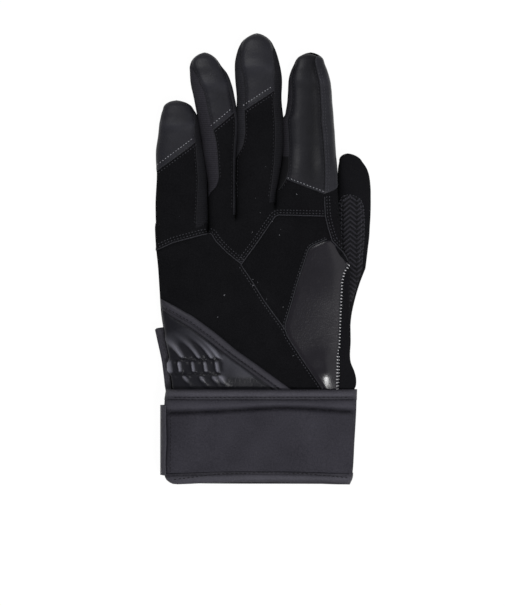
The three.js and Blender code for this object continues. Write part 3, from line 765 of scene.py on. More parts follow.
def between_fingers(points, places, shares):
    """Between two fingers the panel curls in like the fingers' sides, and ends in a round crotch."""
    x, height = points[..., 0], points[..., 2]
    which = np.searchsorted(finger_borders, shares)
    curled = height.copy()
    for k, form in enumerate(finger_forms.values()):
        _, left, right, _, middle_z, _, power = form.section(np.zeros(1))
        side = np.clip(2 * (x - left) / (right - left) - 1, -1, 1)
        inward = 1 - (1 - np.abs(side) ** power) ** (1 / power)
        neighbour = np.clip(np.where(side < 0, k - 1, k + 1), 0, 3)
        opens = np.minimum(finger_bases[k], np.array(finger_bases)[neighbour])
        open_share = ease((places - opens + crotch_reach) / crotch_reach) * ~form.outer_half(x)
        curled = np.where(which == k, height - open_share * inward * (height - middle_z), curled)
    return np.stack([x, points[..., 1], curled], -1)


def stepped_panel(name, start_at, columns, right_share, step, shape=None, facing_down=False,
                  kinds=("none",) * 4):
    """A panel that ends at the base lines of the four fingers."""
    levels = sorted(finger_bases)
    first = np.full(columns.shape, start_at(columns))
    for _ in range(3):
        first = start_at(mix(palm_edge_shares(first)[0], right_share(first), columns))
    count = max(4, int((levels[0] - first.min()) * palm_length / step))
    rows = [mix(first, np.maximum(first, levels[0]), s) for s in np.linspace(0, 1, count)]
    for low, high in zip(levels, levels[1:] + [levels[-1] + tuck_under_finger]):
        between = np.linspace(low, high, max(2, int((high - low) * palm_length / step) + 1))[1:]
        rows += [np.maximum(first, y) for y in between]
    places = np.array(rows)
    shares = mix(palm_edge_shares(places)[0], right_share(places), columns)
    angles = palm_angle(shares, places)
    if facing_down:
        angles = 2 * math.pi - np.maximum(np.abs(angles), -right_seam_angle(places))
    flat = np.stack([angles, places], -1)
    normals = palm_form.normal(angles, places)
    points = between_fingers(palm_form.point(angles, places), places, shares)
    rise = np.zeros(places.shape) if shape is None else shape(points, flat)
    for distance, kind in zip((*row_distances(points, 1), *row_distances(points, 0)), kinds):
        rise = rise + edge_profile(distance, kind)
    middles = (shares[-1, :-1] + shares[-1, 1:]) / 2
    bases = np.array(finger_bases)
    base_of_column = bases[np.searchsorted(finger_borders, middles)] + tuck_under_finger
    base_of_point = bases[np.searchsorted(finger_borders, shares)]
    tucked = ease((places - base_of_point) / tuck_under_finger)
    points = points + normals * (rise - root_sink * tucked)[..., None]
    points[..., 2] = np.maximum(points[..., 2], table_gap)
    if kinds[2] == "lap":
        points[..., 1] -= lap_over * (row_distances(points, 0)[0] < 1e-7)
    unwanted = (places[:-1, :-1] + places[1:, 1:]) / 2 > base_of_column
    if facing_down:
        points, unwanted = points[:, ::-1], unwanted[:, ::-1]
    obj = grid_mesh(name, points)
    delete_faces(obj, unwanted.reshape(-1))
    in_edit_mode(obj, (bpy.ops.mesh.remove_doubles, {"threshold": weld_distance}))
    thicken(obj, leather)
    return obj


def border_columns(right_share, step):
    """Columns across the palm, with one on each border between two fingers.

    They crowd at the palm's edges and beside the borders, where the section turns steeply.
    """
    roots = np.array(0.95)
    left, right = palm_edge_shares(roots)[0], right_share(roots)
    borders = [(border - left) / (right - left) for border in finger_borders]
    stops = [0] + [border for border in borders if border < 0.97] + [1]
    parts = [
        np.linspace(a, b, max(3, int((b - a) * palm_width / step)), endpoint=False)
        for a, b in zip(stops[:-1], stops[1:])
    ]
    columns = np.r_[np.concatenate(parts), 1]
    steep = np.array([0.0001, 0.0005, 0.0015, 0.004])
    beside = np.array([0.0008, 0.0022, 0.0042])
    beside = [stop + way * beside for stop in stops[1:-1] for way in (-1, 1)]
    return np.unique(np.r_[columns, steep, 1 - steep, np.ravel(beside)])


seam_x, seam_y = np.array(knuckle_seam).T
knuckle_right = 0.911
back_step = 1.1 * MM


def knuckle_start(shares):
    return np.interp(shares, seam_x, seam_y)


def knuckle_right_share(places):
    return np.full(np.shape(places), knuckle_right)


glove_pieces["palm_knuckle_panel"] = stepped_panel(
    "palm_knuckle_suede", knuckle_start, border_columns(knuckle_right_share, grid_step),
    knuckle_right_share, grid_step, palm_creases, kinds=("butt", "tuck", "lap", "none"),
)
glove_pieces["hand_back_panel"] = stepped_panel(
    "hand_back_suede", lambda shares: np.full(np.shape(shares), palm_start),
    border_columns(lambda places: palm_edge_shares(places)[1], back_step),
    lambda places: palm_edge_shares(places)[1], back_step, facing_down=True,
    kinds=("butt", "butt", "none", "none"),
)


def palm_panel(node, name, left, right, bottom, top, kinds, shape=palm_creases, thickness=None,
               even=False):
    columns = crowded(len(bottom))
    glove_pieces[node] = lay_panel(
        name, palm_form, (left, right, bottom, top), columns, thickness, kinds, shape, even=even)
    print(name, len(left), "by", len(bottom))


def crowded_seam(points, count):
    """A seam line across the palm with as many stops as its panel has columns."""
    return on_palm(points, count, crowded(count))


rows, columns = palm_count(0.34), palm_count(0.17)
palm_panel(
    "index_root_panel", "index_root_suede",
    on_palm(index_seam, rows), thumb_side(0.66, 1.038, rows),
    crowded_seam(thenar_top_seam[1:] + [[1.063, 0.66]], columns),
    crowded_seam([[0.909, 1.038], [0.987, 1.038]], columns),
    ("lap", "butt", "lap", "none"),
)
rows, columns = palm_count(0.44), palm_count(0.5)
palm_panel(
    "palm_centre_panel", "palm_centre_suede",
    on_palm(heel_seam, rows), on_palm(index_seam[:3], rows),
    crowded_seam(thenar_left_seam + thenar_top_seam[1:2], columns),
    crowded_seam(knuckle_seam[7:], columns),
    ("tuck", "tuck", "lap", "tuck"),
)
rows, columns = palm_count(0.9), palm_count(1.1)
palm_panel(
    "palm_heel_panel", "palm_heel_suede",
    little_finger_side(0.487, 0.7452, rows), on_palm(heel_right_seam + heel_seam[1:], rows),
    crowded_seam(wrist_seam, columns),
    crowded_seam(knuckle_seam[:8], columns),
    ("butt", "lap", "tuck", "tuck"), even=True,
)

thenar_bulge = 3 * MM
thenar_bulge_at = (0.912, 0.086)
thenar_bulge_reach = 10.2 * MM


def thenar_shape(points, flat):
    """Near the cuff the waxed patch bulges, and its lower flank catches the lamp."""
    x, y = points[..., 0], points[..., 1]
    middle_x, middle_y = across(thenar_bulge_at[0]), along(thenar_bulge_at[1])
    away = np.hypot(x - middle_x, y - middle_y) / thenar_bulge_reach
    return 0.4 * palm_creases(points, flat) + thenar_bulge * np.exp(-away ** 2)


rows, columns = palm_count(1.0), palm_count(0.3)
palm_panel(
    "thenar_patch", "thenar_gloss",
    on_palm(heel_right_seam + thenar_left_seam[1:], rows),
    on_palm(whip_seam, rows),
    crowded_seam([[0.915, palm_start], [0.981, palm_start]], columns),
    crowded_seam(thenar_top_seam, columns),
    ("tuck", "butt", "none", "tuck"), thenar_shape,
)
palm_panel(
    "thumb_side_panel", "thumb_side_suede",
    on_palm(whip_seam, rows), thumb_side(palm_start, 0.675, rows),
    crowded_seam([[0.981, palm_start], [1.0526, palm_start]], columns),
    crowded_seam([[1.0425, 0.675], [1.063, 0.675]], columns),
    ("butt", "butt", "none", "tuck"),
)

# %% [markdown]
# Under the little finger the palm ends in a soft leather wedge. Two rows of elastic thread gather
# it, so it lies in short pleats with longer folds that fan out above and below. A folded tape
# binds the edge of the suede above it.

# %% The gathered wrist panel and its tape
gather_shares = [0.078, 0.132, 0.203, 0.27, 0.332]
fan_shares = [0.152, 0.24, 0.308, 0.345]
gather_low, gather_high = 0.081, 0.158
gather_left, gather_right = 0.08, 0.36
gather_lean = -0.16
pleat_width = 1.05 * MM
pleat_height = 2.0 * MM
fan_height = 1.9 * MM
tape_rise = 0.9 * MM
# The dip at the cuff also darkens the wrist leather's colour through its height: painted shadow of the
# cuff's edge.
dip_at_cuff = 0.9 * MM
gather_sink = 0.55 * MM
thread_depth = 0.9 * MM
thread_width = 1.1 * MM


def pleat(offset):
    """Section of a fold: one side is steep and the other runs out slowly."""
    return np.exp(-np.where(offset < 0, offset * 1.5, offset * 0.8) ** 2)


# The height of these folds also sets the wrist leather's colour: painted highlight on the crests, painted
# shade in the valleys and along the sunk threads.
def gathers(points, flat):
    """Leaning pleats between the two threads, and longer folds that fan out from them."""
    x, y = points[..., 0], points[..., 1]
    rise = cloth_bumps(x, y, 9) * 0.8
    low, high = along(gather_low), along(gather_high)
    inside = ease((y - low) / (2 * MM)) * ease((high - y) / (2 * MM))
    for share in gather_shares:
        lean = gather_lean * (y - (low + high) / 2)
        rise = rise + pleat_height * pleat((x - across(share) - lean) / pleat_width) * inside
    gathered = ease((x - across(0.04)) / (4 * MM)) * ease((across(0.375) - x) / (3 * MM))
    rise = rise - gather_sink * inside * gathered
    for start, way, reach, drift in ((high, 1, 17 * MM, -0.5), (low, -1, 10 * MM, 0.35)):
        away = (y - start) * way
        fading = ease(away / (1.5 * MM)) * (1 - ease(away / reach)) ** 1.5
        for share in fan_shares:
            bend = drift * away * (1 + away / reach)
            width = pleat_width * (1.2 + 1.4 * np.clip(away / reach, 0, 1))
            rise = rise + fan_height * pleat((x - across(share) - bend) / width) * fading
        rise = rise - gather_sink * fading * gathered
    for line in (low, high):
        wavy = line + 0.5 * MM * np.sin(x / pleat_width)
        inside = (ease((x - across(gather_left)) / (3 * MM))
                  * ease((across(gather_right) - x) / (3 * MM)))
        rise = rise - thread_depth * np.exp(-((y - wavy) / thread_width) ** 2) * inside
    return rise - dip_at_cuff * (1 - ease((y - cuff_line) / (8 * MM)))


def across_tape(points):
    """Share of a tape's width, and distances from its lower and its upper edge."""
    below, above = row_distances(points, 0)
    return below / np.maximum(below + above, 1e-9), below, above


def tape(points, flat):
    """A rounded tape with a sunk line of stitches near its lower edge."""
    share = across_tape(points)[0]
    stitched = np.exp(-((share - 0.27) / 0.07) ** 2)
    rounded = tape_rise * (1 - (2 * share - 1) ** 4) * mix(0.6, 1, ease((share - 0.25) / 0.3))
    bumps = 0.3 * cloth_bumps(points[..., 0] * 2, points[..., 1] * 2, 5)
    return (rounded - 0.45 * MM * stitched + bumps) * ease(2 * np.abs(np.sin(flat[..., 0])))


rows, columns = palm_count(0.62), palm_count(0.95)
palm_panel(
    "wrist_panel", "wrist_leather",
    little_finger_side(palm_start, 0.4313, rows),
    on_palm([[0.83, palm_start], [0.8301, -0.144]], rows),  # this side is a point, inside the cuff
    crowded_seam([[0.0874, palm_start], [0.83, palm_start]], columns),
    crowded_seam(wrist_binding_seam, columns),
    ("butt", "none", "none", "tuck"), gathers,
)
rows = 14
palm_panel(
    "wrist_panel_binding", "wrist_tape",
    little_finger_side(0.4313, 0.487, rows),
    on_palm([[0.83, palm_start], [0.915, palm_start]], rows),
    crowded_seam(wrist_binding_seam, columns),
    crowded_seam(wrist_seam, columns),
    ("none", "none", "none", "none"), tape, thickness=1.0 * MM,
)

# %% [markdown]
# Each finger is sewn from a palm-side panel, a patch of smoother leather over the tip, a back
# panel and narrow knit strips at its sides. All are grids on the finger's form, between the
# angles of their seams.

# %% Finger panels
finger_pieces = {name: {} for name in fingers}
tip_crowding = 1.7


def strip_angle(finger, hand, places):
    """Angle of the seam between a finger's front and the strip at its left or right hand."""
    if hand not in finger:
        return np.full(np.shape(places), math.pi if hand == "left" else 0.0)
    return np.arccos(np.clip(smooth(finger[hand], places)[..., 0], -1, 1))


def towards_tip(start, count):
    """Places from a start to the tip, closer together where the tip closes."""
    return mix(start, 1.0, 1 - (1 - np.linspace(0, 1, count)) ** tip_crowding)


def seam_ends(finger):
    """Places where the patch's seam meets the strips at its left and right end."""
    ends = []
    for hand, guess in zip(("left", "right"), finger["patch"]):
        for _ in range(6):
            side = math.cos(float(strip_angle(finger, hand, np.array(guess))))
            guess = mix(*finger["patch"], (side + 1) / 2)
        ends.append(guess)
    return ends


def edge(angles, places):
    return np.stack([np.broadcast_to(angles, np.shape(places)), places], -1)


def edges_round(turn, places):
    """The four edges of a panel that runs round a form, from turn to turn and place to place."""
    return (edge(turn[0], places), edge(turn[-1], places),
            edge(turn, np.full(len(turn), places[0])), edge(turn, np.full(len(turn), places[-1])))


def patch_seam(finger, ends, columns):
    """The seam between a finger's suede and its tip leather, from its left to its right end."""
    sides = [math.cos(float(strip_angle(finger, hand, np.array(end))))
             for hand, end in zip(("left", "right"), ends)]
    angles = mix(math.acos(np.clip(sides[0], -1, 1)), math.acos(np.clip(sides[1], -1, 1)), columns)
    return np.stack([angles, mix(*finger["patch"], (np.cos(angles) + 1) / 2)], -1)


def finger_cloth(points, flat):
    """The palm's creases run on over the root, and the finger's own bumps take over."""
    own = 0.55 * cloth_bumps(points[..., 0] * 1.7, points[..., 1] * 1.3, 21)
    under_palm = root_sink * (1 - ease(1 + flat[..., 1] / root_overlap))
    return mix(palm_creases(points, flat), own, ease(flat[..., 1] / 0.2)) - under_palm


joint_fold_at = 0.8
joint_fold_height = 0.55 * MM


def leather_tip(points, flat):
    """Short wrinkles across the finger, and one soft fold where its last joint bends."""
    from_joint = (flat[..., 1] - joint_fold_at) / 0.035
    fold = joint_fold_height * np.exp(-from_joint ** 2) * ease(1.5 * np.sin(flat[..., 0]))
    return 0.5 * cloth_bumps(points[..., 0] * 1.1, points[..., 1] * 2.8, 31) + fold


ridge_x, hollow_x = 18.9, 27.6  # in mm


def index_leather(points, flat):
    """The long leather of the index finger has a ridge and a hollow along it."""
    x = points[..., 0] / MM
    ridge = np.exp(-((x - ridge_x) / 3.2) ** 2)
    hollow = np.exp(-((x - hollow_x) / 3.8) ** 2)
    lengthwise = MM * (0.35 * ridge - 0.7 * hollow) * ease(flat[..., 1] / 0.15)
    return leather_tip(points, flat) * 0.5 + lengthwise


def past_root(name):
    """Seams start a little past the root, but the one along the hand's outer edge runs through."""
    outer_way = {"pinky": -1, "index": 1}.get(name, 0)

    def fading(flat):
        on_edge = ease(1 - 3 * np.abs(np.sin(flat[..., 0]))) * (outer_way * np.cos(flat[..., 0]) > 0)
        return np.maximum(ease(flat[..., 1] / 0.07), on_edge)

    return fading


def finger_grid(finger, length_share, width_share):
    rows = max(5, int(finger["length"] * length_share / grid_step))
    columns = max(4, int(finger["width"] * width_share / grid_step))
    return rows, crowded(columns)


def panel_between(name, part, places, angles, columns, kinds, shape, bottom=None, top=None):
    """A finger panel between two side edges, each a pair of places and angles."""
    form = finger_forms[name]
    left, right = edge(angles[0], places[0]), edge(angles[1], places[1])
    spread = columns[:, None]
    bottom = mix(left[0], right[0], spread) if bottom is None else bottom
    top = mix(left[-1], right[-1], spread) if top is None else top
    finger_pieces[name][part] = lay_panel(
        f"{name}_{part}", form, (left, right, bottom, top), columns, None, kinds, shape,
        past_root(name))


strip_end = 0.955
for name, finger in fingers.items():
    ends = seam_ends(finger)
    rows, columns = finger_grid(finger, max(ends), 1.5)
    seam = patch_seam(finger, ends, columns)
    low = [np.linspace(-root_overlap, end, rows) for end in ends]
    low_angles = [strip_angle(finger, hand, places) for hand, places in zip(("left", "right"), low)]
    sides = tuple("tuck" if hand in finger else "butt" for hand in ("left", "right"))
    panel_between(
        name, "front_suede", low, low_angles, columns, (*sides, "none", "tuck"), finger_cloth,
        top=seam)

    rows, columns = finger_grid(finger, 1 - min(ends), 1.5)
    seam = patch_seam(finger, ends, columns)
    high = [towards_tip(end, rows) for end in ends]
    high_angles = [
        strip_angle(finger, hand, places) for hand, places in zip(("left", "right"), high)]
    shape = index_leather if name == "index" else leather_tip
    panel_between(
        name, "tip_leather", high, high_angles, columns, (*sides, "lap", "none"), shape,
        bottom=seam)

    rows, columns = finger_grid(finger, 1, 1.6)
    places = towards_tip(-root_overlap, rows)
    panel_between(
        name, "back_suede", (places, places), (math.pi, 2 * math.pi), columns,
        ("butt", "butt", "none", "none"), finger_cloth)
    for hand, seam_angle in (("left", math.pi), ("right", 0.0)):
        if hand not in finger or name == "index" and hand == "right":
            continue
        rows, columns = finger_grid(finger, strip_end, 0.35)
        places = np.linspace(-root_overlap, strip_end, rows)
        angles = [np.full(rows, seam_angle), strip_angle(finger, hand, places)]
        angles = angles if hand == "left" else angles[::-1]
        panel_between(
            name, hand + "_strip", (places, places), angles, columns,
            ("butt", "butt", "none", "none"), finger_cloth)

# The index finger's side is a strip of leather that starts at a point of its root.
index = fingers["index"]
side_seam = [0.017, 0.069]
side_end = 0.975
rows, columns = finger_grid(index, 0.94, 0.6)
places = [np.linspace(start, side_end, rows) for start in side_seam]
angles = [strip_angle(index, "right", places[0]), np.zeros(rows)]
panel_between(
    "index", "side_leather", places, angles, columns, ("lap", "butt", "lap", "tuck"), leather_tip)
rows = 10
places = [np.linspace(-root_overlap, start, rows) for start in side_seam]
angles = [strip_angle(index, "right", places[0]), np.zeros(rows)]
panel_between(
    "index", "side_root_suede", places, angles, columns, ("none", "butt", "none", "tuck"),
    finger_cloth)
print({name: len(parts) for name, parts in finger_pieces.items()})

# %% [markdown]
# The thumb has a suede front and back, and a ribbed stretch panel is let into its front, where
# the thumb bends against the ball. Its root runs on under the side of the palm.

# %% The thumb
thumb_pieces = {}
thumb_rows = int(thumb_form.length / grid_step)
thumb_columns = crowded(int(thumb_form.width * 1.5 / grid_step))
places = towards_tip(0, thumb_rows)
spread = thumb_columns[:, None]
for part, start, end in (("front", math.pi, 0), ("back", math.pi, 2 * math.pi)):
    left, right = edge(start, places), edge(end, places)
    edges = (left, right, mix(left[0], right[0], spread), mix(left[-1], right[-1], spread))
    thumb_pieces[part] = lay_panel(
        f"thumb_{part}_suede", thumb_form, edges, thumb_columns, None,
        ("butt", "butt", "none", "none"), finger_cloth)


def on_thumb(points, count, spread=None):
    """Points of an outline, as shares of the thumb's width and length, on the thumb's form."""
    line = resample(points, count, spread)
    x = across(thumb_form.middle) + line[:, 0] * thumb_form.width
    return np.stack([thumb_form.angle_at(x, line[:, 1]), line[:, 1]], -1)


grip_rise = 0.45 * MM
grip_thickness = 0.8 * MM


def grip_shape(points, flat):
    """The ribbed insert stands a little proud, and less so at its top and its two sides."""
    near = np.minimum.reduce([row_distances(points, 0)[1], *row_distances(points, 1)])
    return grip_rise - 0.5 * grip_rise * np.exp(-near / (0.5 * MM))


rows, count = 50, 20
grip_columns = crowded(count, 0.3)
grip_edges = (
    on_thumb([[-0.42, 0.0], [-0.42, 0.56]], rows),
    on_thumb([[0.26, 0], [0.27, 0.1], [0.31, 0.2], [0.33, 0.4], [0.3, 0.54]], rows),
    on_thumb([[-0.42, 0.0], [0.26, 0.0]], count, grip_columns),
    on_thumb([[-0.42, 0.56], [-0.3, 0.63], [-0.05, 0.64], [0.22, 0.6], [0.3, 0.54]], count, grip_columns),
)
thumb_pieces["grip"] = lay_panel(
    "thumb_grip_rib", thumb_form, grip_edges, grip_columns, grip_thickness, ("none",) * 4,
    grip_shape)

# The insert runs on over the thumb's root. Its sides there, as shares of the palm:
rib_low, rib_high = 0.47, thumb_form.base
rib_left, rib_right = [[1.004, rib_low], [1.0, rib_high]], [[1.06, rib_low], [1.1175, rib_high]]


def on_root(points, count, spread=None):
    line = resample(points, count, spread)
    return np.stack([thumb_root_form.angle_at(across(line[:, 0]), line[:, 1]), line[:, 1]], -1)


rows = 24
glove_pieces["thumb_root_rib"] = lay_panel(
    "thumb_root_rib", thumb_root_form,
    (on_root(rib_left, rows), on_root(rib_right, rows),
     on_root([rib_left[0], rib_right[0]], count, grip_columns),
     on_root([rib_left[1], rib_right[1]], count, grip_columns)),
    grip_columns, grip_thickness, ("none",) * 4, grip_shape)
rows, columns = 40, 64
places = np.linspace(thumb_root_start, thumb_form.base, rows)
turn = np.linspace(1.5 * math.pi, -0.5 * math.pi, columns)
glove_pieces["thumb_root"] = lay_panel(
    "thumb_root_suede", thumb_root_form, edges_round(turn, places), np.linspace(0, 1, columns),
    None, ("none",) * 4, finger_cloth)
print("thumb pieces:", sorted(thumb_pieces))

# %% [markdown]
# The cuff is a wide band of neoprene that is open along the little finger's edge. Folded tape
# binds its two edges. It is a form too, from its top edge down.

# %% The cuff
cuff_left_shares = [
    [0, 0.064], [0.12, 0.054], [0.25, 0.052], [0.54, 0.055], [0.85, 0.052], [0.92, 0.057],
    [0.96, 0.07], [0.985, 0.092], [1, 0.125],
]
cuff_right_shares = [[0, 1.086], [0.25, 1.083], [0.54, 1.074], [0.85, 1.066], [0.94, 1.06], [1, 1.046]]
bottom_edge_rise = 1.6 * MM
cuff_left, cuff_span = 0.04, 1.04


def cuff_share(points):
    """How far across the cuff a point is, from 0 to 1."""
    return np.clip((points[..., 0] - across(cuff_left)) / (cuff_span * palm_width), 0, 1)


class Cuff(Form):
    """The cuff's lower edge curves up a little in the middle of the palm side."""

    def __init__(self, proud):
        self.proud = proud
        super().__init__(self.cuff_section)

    def cuff_section(self, place):
        y = cuff_line - place * cuff_height
        left = across(smooth(cuff_left_shares, place)[..., 0]) - self.proud
        right = across(smooth(cuff_right_shares, place)[..., 0]) + self.proud
        return y, left, right, cuff_half + self.proud, cuff_middle, cuff_middle, oval_power

    def point(self, angle, place):
        made = super().point(angle, place)
        share = cuff_share(made)
        arch = bottom_edge_rise * (1 - (2 * share - 1) ** 2) * np.clip(place, 0, 1) ** 2
        made[..., 1] += arch * np.clip(np.sin(angle), 0, 1)
        return made


# The ring of the cuff starts above the slit and turns round the thumb's side to below it.
slit_start = math.pi + 0.077
slit_end = -math.pi + 0.205
ring_columns = 230
band_seam = [[0, 13.2 * MM], [0.29, 12 * MM], [0.62, 10.2 * MM], [1, 12.4 * MM]]


def ring_panel(name, start, end, rows, proud, shape, thickness=neoprene,
               kinds=("butt", "butt", "none", "none")):
    """Part of the cuff's ring, open at the slit, between two places along the cuff."""
    edges = edges_round(np.linspace(slit_start, slit_end, ring_columns), np.linspace(end, start, rows))
    columns = np.linspace(0, 1, ring_columns)
    return lay_panel(name, Cuff(proud), edges, columns, thickness, kinds, shape)


def off_side(flat):
    """Folds fade where the cuff turns round its two sides."""
    return ease(3 * np.abs(np.sin(flat[..., 0])) - 0.15)


def band_shape(points, flat):
    """A soft crest below the tape, and a groove along the seam that holds the band."""
    down = cuff_line - points[..., 1]
    seam = smooth(band_seam, cuff_share(points))[..., 0]
    on_palm_side = points[..., 2] > cuff_middle
    groove = 1.5 * MM * np.exp(-((down - seam) / (1.3 * MM)) ** 2) * on_palm_side
    crest = 1.1 * MM * np.sin(np.clip((down - 6 * MM) / (seam - 6 * MM), 0, 1) * math.pi)
    bumps = 0.8 * cloth_bumps(points[..., 0] * 0.7, points[..., 1] * 0.7, 13)
    return bumps + (crest - groove) * off_side(flat)


def edge_tape(points, flat):
    """A rounded tape with a sunk line of stitches beside the band."""
    share, below, above = across_tape(points)
    from_band = np.where(points[..., 1] > cuff_line - cuff_height / 2, below, above)
    stitched = np.exp(-((from_band - 1.5 * MM) / (0.5 * MM)) ** 2)
    rounded = 1.9 * MM * (1 - (2 * share - 1) ** 2) - 0.8 * MM
    bumps = 0.5 * cloth_bumps(points[..., 0], points[..., 1], 17)
    return (rounded - 0.6 * MM * stitched) * off_side(flat) + bumps


top_tape, bottom_tape = 5.9 * MM / cuff_height, 1 - 6.4 * MM / cuff_height
tape_proud = 0.35 * MM
glove_pieces["cuff_band"] = ring_panel("cuff_neoprene", top_tape, bottom_tape, 58, 0, band_shape)
glove_pieces["cuff_top_binding"] = ring_panel(
    "cuff_top_tape", 0, top_tape, 14, tape_proud, edge_tape)
glove_pieces["cuff_bottom_binding"] = ring_panel(
    "cuff_bottom_tape", bottom_tape, 1, 14, tape_proud, edge_tape)
print("cuff band faces:", len(glove_pieces["cuff_band"].data.polygons))

# %% [markdown]
# The closing strap is sewn to the cuff's palm side, folds round the open edge, and grips a loop
# patch on the back with its hooks. The fixed fold and the free strap are two pieces that meet
# at the hinge.

# %% The strap and its patches
hinge = joints["strap_open"]["pos_m"]
strap_low_down, strap_high_down = 47.3 * MM, 8.8 * MM  # below the cuff's top edge
strap_low = cuff_line - strap_low_down
strap_high = cuff_line - strap_high_down
strap_thickness = 1 * MM
strap_end = 19.4 * MM
strap_corner = 6.4 * MM
# The strap's outer line, from the hinge round the edge and along the table.
strap_bend = [
    [0.2, -0.15], [0.3, -2], [1.0, -3.7], [2.6, -5.3], [5, -6.3], [9, -6.9], [14, -7.15],
]


def strap_piece():
    """The free strap, whose far corners are cut off at a slant."""
    bend = np.array(strap_bend) * MM + [hinge[0], hinge[2]]
    path = resample(np.vstack([bend, [[strap_end, 0.05 * MM]]]), 110)
    across_strap = crowded(44, 0.5)
    past_corner = np.maximum(0, path[:, 0] - (strap_end - strap_corner))
    half = (strap_high - strap_low) / 2 - past_corner * 0.95
    y = (strap_low + strap_high) / 2 + half[:, None] * (2 * across_strap - 1)
    x, z = np.broadcast_to(path[:, :1], y.shape), np.broadcast_to(path[:, 1:], y.shape)
    points = np.stack([x, y, z], -1)
    at_low_edge = 1 - ease(row_distances(points, 1)[0] / MM)
    points[..., 2] += 0.25 * MM * at_low_edge * ease((path[:, :1] + 0.05) / 0.01)
    obj = grid_mesh("strap_neoprene", points)
    thicken(obj, strap_thickness)
    return obj


strap_parts = {"closure_strap": strap_piece()}

anchor_places = np.linspace(strap_low_down / cuff_height, strap_high_down / cuff_height, 50)
fold_proud = 1.75 * MM
fold_end_x = -53 * MM
fold_from_hinge = (0.2 * MM, 0.15 * MM)


def fold_piece():
    """The fixed fold runs from the hinge up the cuff's side and a little way over its palm side."""
    outside = Cuff(fold_proud)
    turn = np.linspace(math.pi, outside.angle_at(fold_end_x, np.array(0.5)), 14)
    over = outside.point(*np.meshgrid(turn, anchor_places))
    foot = [hinge[0] + fold_from_hinge[0], 0, hinge[2] + fold_from_hinge[1]]
    root = over[:, :1] * [0, 1, 0] + foot
    side = root + (over[:, :1] - root) * np.linspace(0, 1, 9)[:-1, None]
    points = np.concatenate([side, over], 1)
    rise = sum(edge_profile(distance, "butt")
               for distance in (row_distances(points, 1)[1], *row_distances(points, 0)))
    obj = grid_mesh("strap_fold_neoprene", points + grid_normals(points) * rise[..., None], rise)
    thicken(obj, strap_thickness)
    return obj


glove_pieces["strap_anchor"] = fold_piece()


# The loops lie on the cuff's underside, and the hooks flat on the strap.
patch_thickness = 0.6 * MM
loop_form = Cuff(0.95 * MM)
loop_x = np.linspace(-33.9 * MM, 10.1 * MM, 50)
loop_turn = 2 * math.pi - loop_form.angle_at(loop_x, np.full(50, 0.5))
glove_pieces["loop_patch"] = lay_panel(
    "loop_pile", loop_form, edges_round(loop_turn, np.linspace(0.848, 0.2266, 40)),
    np.linspace(0, 1, 50), patch_thickness)
hook_low, hook_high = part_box("hook_patch")
hook_x = np.linspace(hook_low.x, hook_high.x, 30)
hook_y = np.linspace(hook_low.y, hook_high.y, 40)
hook_points = np.stack([*np.meshgrid(hook_x, hook_y), np.full((40, 30), hook_high.z)], -1)
strap_parts["hook_patch"] = grid_mesh("hook_pile", hook_points)
thicken(strap_parts["hook_patch"], patch_thickness)

# %% [markdown]
# Two small pieces finish the wrist: the elastic tape behind the gathers, and the folded tape
# that binds the glove's opening and stands out beyond the little finger's edge.

# %% Elastic and slit tape
elastic_depth = 2.6 * MM
elastic_left, elastic_right = 0.12, 0.36
elastic_low, elastic_high = 0.06, 0.18
rows, columns = 16, 30
places = np.linspace(elastic_low, elastic_high, rows)
glove_pieces["wrist_elastic"] = lay_panel(
    "wrist_elastic_tape", palm_form,
    (edge(palm_angle(elastic_left, places), places),
     edge(palm_angle(elastic_right, places), places),
     on_palm([[elastic_left, elastic_low], [elastic_right, elastic_low]], columns),
     on_palm([[elastic_left, elastic_high], [elastic_right, elastic_high]], columns)),
    np.linspace(0, 1, columns), 0.7 * MM, ("none",) * 4,
    lambda points, flat: np.full(points.shape[:2], -elastic_depth))

slit_top_share, slit_low_share = 0.335, -0.02
slit_width = 6.2 * MM
slit_half = 1.1 * MM
slit_tuck = 1.3 * MM
slit_drop = 2.9 * MM


def slit_section(place):
    """The tape is tucked under the palm's edge, lies below it and closes at its upper end."""
    left_share = palm_edge_shares(place)[0]
    closing = np.sqrt(np.clip((slit_top_share - place) / 0.012, 0, 1))
    taper = mix(0.72, 1, place / slit_top_share)
    right = across(left_share) + slit_tuck
    lift = smooth(palm_shares, place)[..., 3]
    z = mix(palm_edge_height, cuff_middle, lift) - slit_drop
    left = right - slit_width * taper * closing
    return along(place), left, right, slit_half * closing, z, z, tip_power


slit_form = Form(slit_section)
rows, columns = 46, 26
turn = np.linspace(1.5 * math.pi, -0.5 * math.pi, columns)
places = np.linspace(slit_low_share, slit_top_share, rows)


def slit_crease(points, flat):
    """The tape is folded over the edge, so a stitched line runs along its middle."""
    return -0.35 * MM * np.exp(-((np.cos(flat[..., 0]) - 0.2) / 0.16) ** 2) * (np.sin(flat[..., 0]) > 0)


glove_pieces["slit_binding"] = lay_panel(
    "slit_tape", slit_form, edges_round(turn, places), np.linspace(0, 1, columns), 0.4 * MM,
    ("none",) * 4, slit_crease)
print("strap pieces:", sorted(strap_parts))

# %% [markdown]
# A glove is held together by its stitches, and here they show as rows of small dots. Each stitch
# is a copy of one small flattened ball of 24 faces. A row follows a seam at a fixed distance, and
# every stitch is pressed on to the leather below it: a ray from above finds where it lies.

# %% Tools for stitches and cut edges
bpy.ops.object.select_all(action="DESELECT")
bpy.ops.mesh.primitive_uv_sphere_add(segments=6, ring_count=4, radius=1)
ball = bpy.context.object
ball_points = np.array([vertex.co for vertex in ball.data.vertices])
ball_faces = sorted(list(face.vertices) for face in ball.data.polygons)  # same at every run
bpy.data.objects.remove(ball)
stitch_rows = {}


def in_metres(line):
    """A line in shares of the palm, as x and y in metres."""
    return np.array([[across(u), along(v)] for u, v in line])


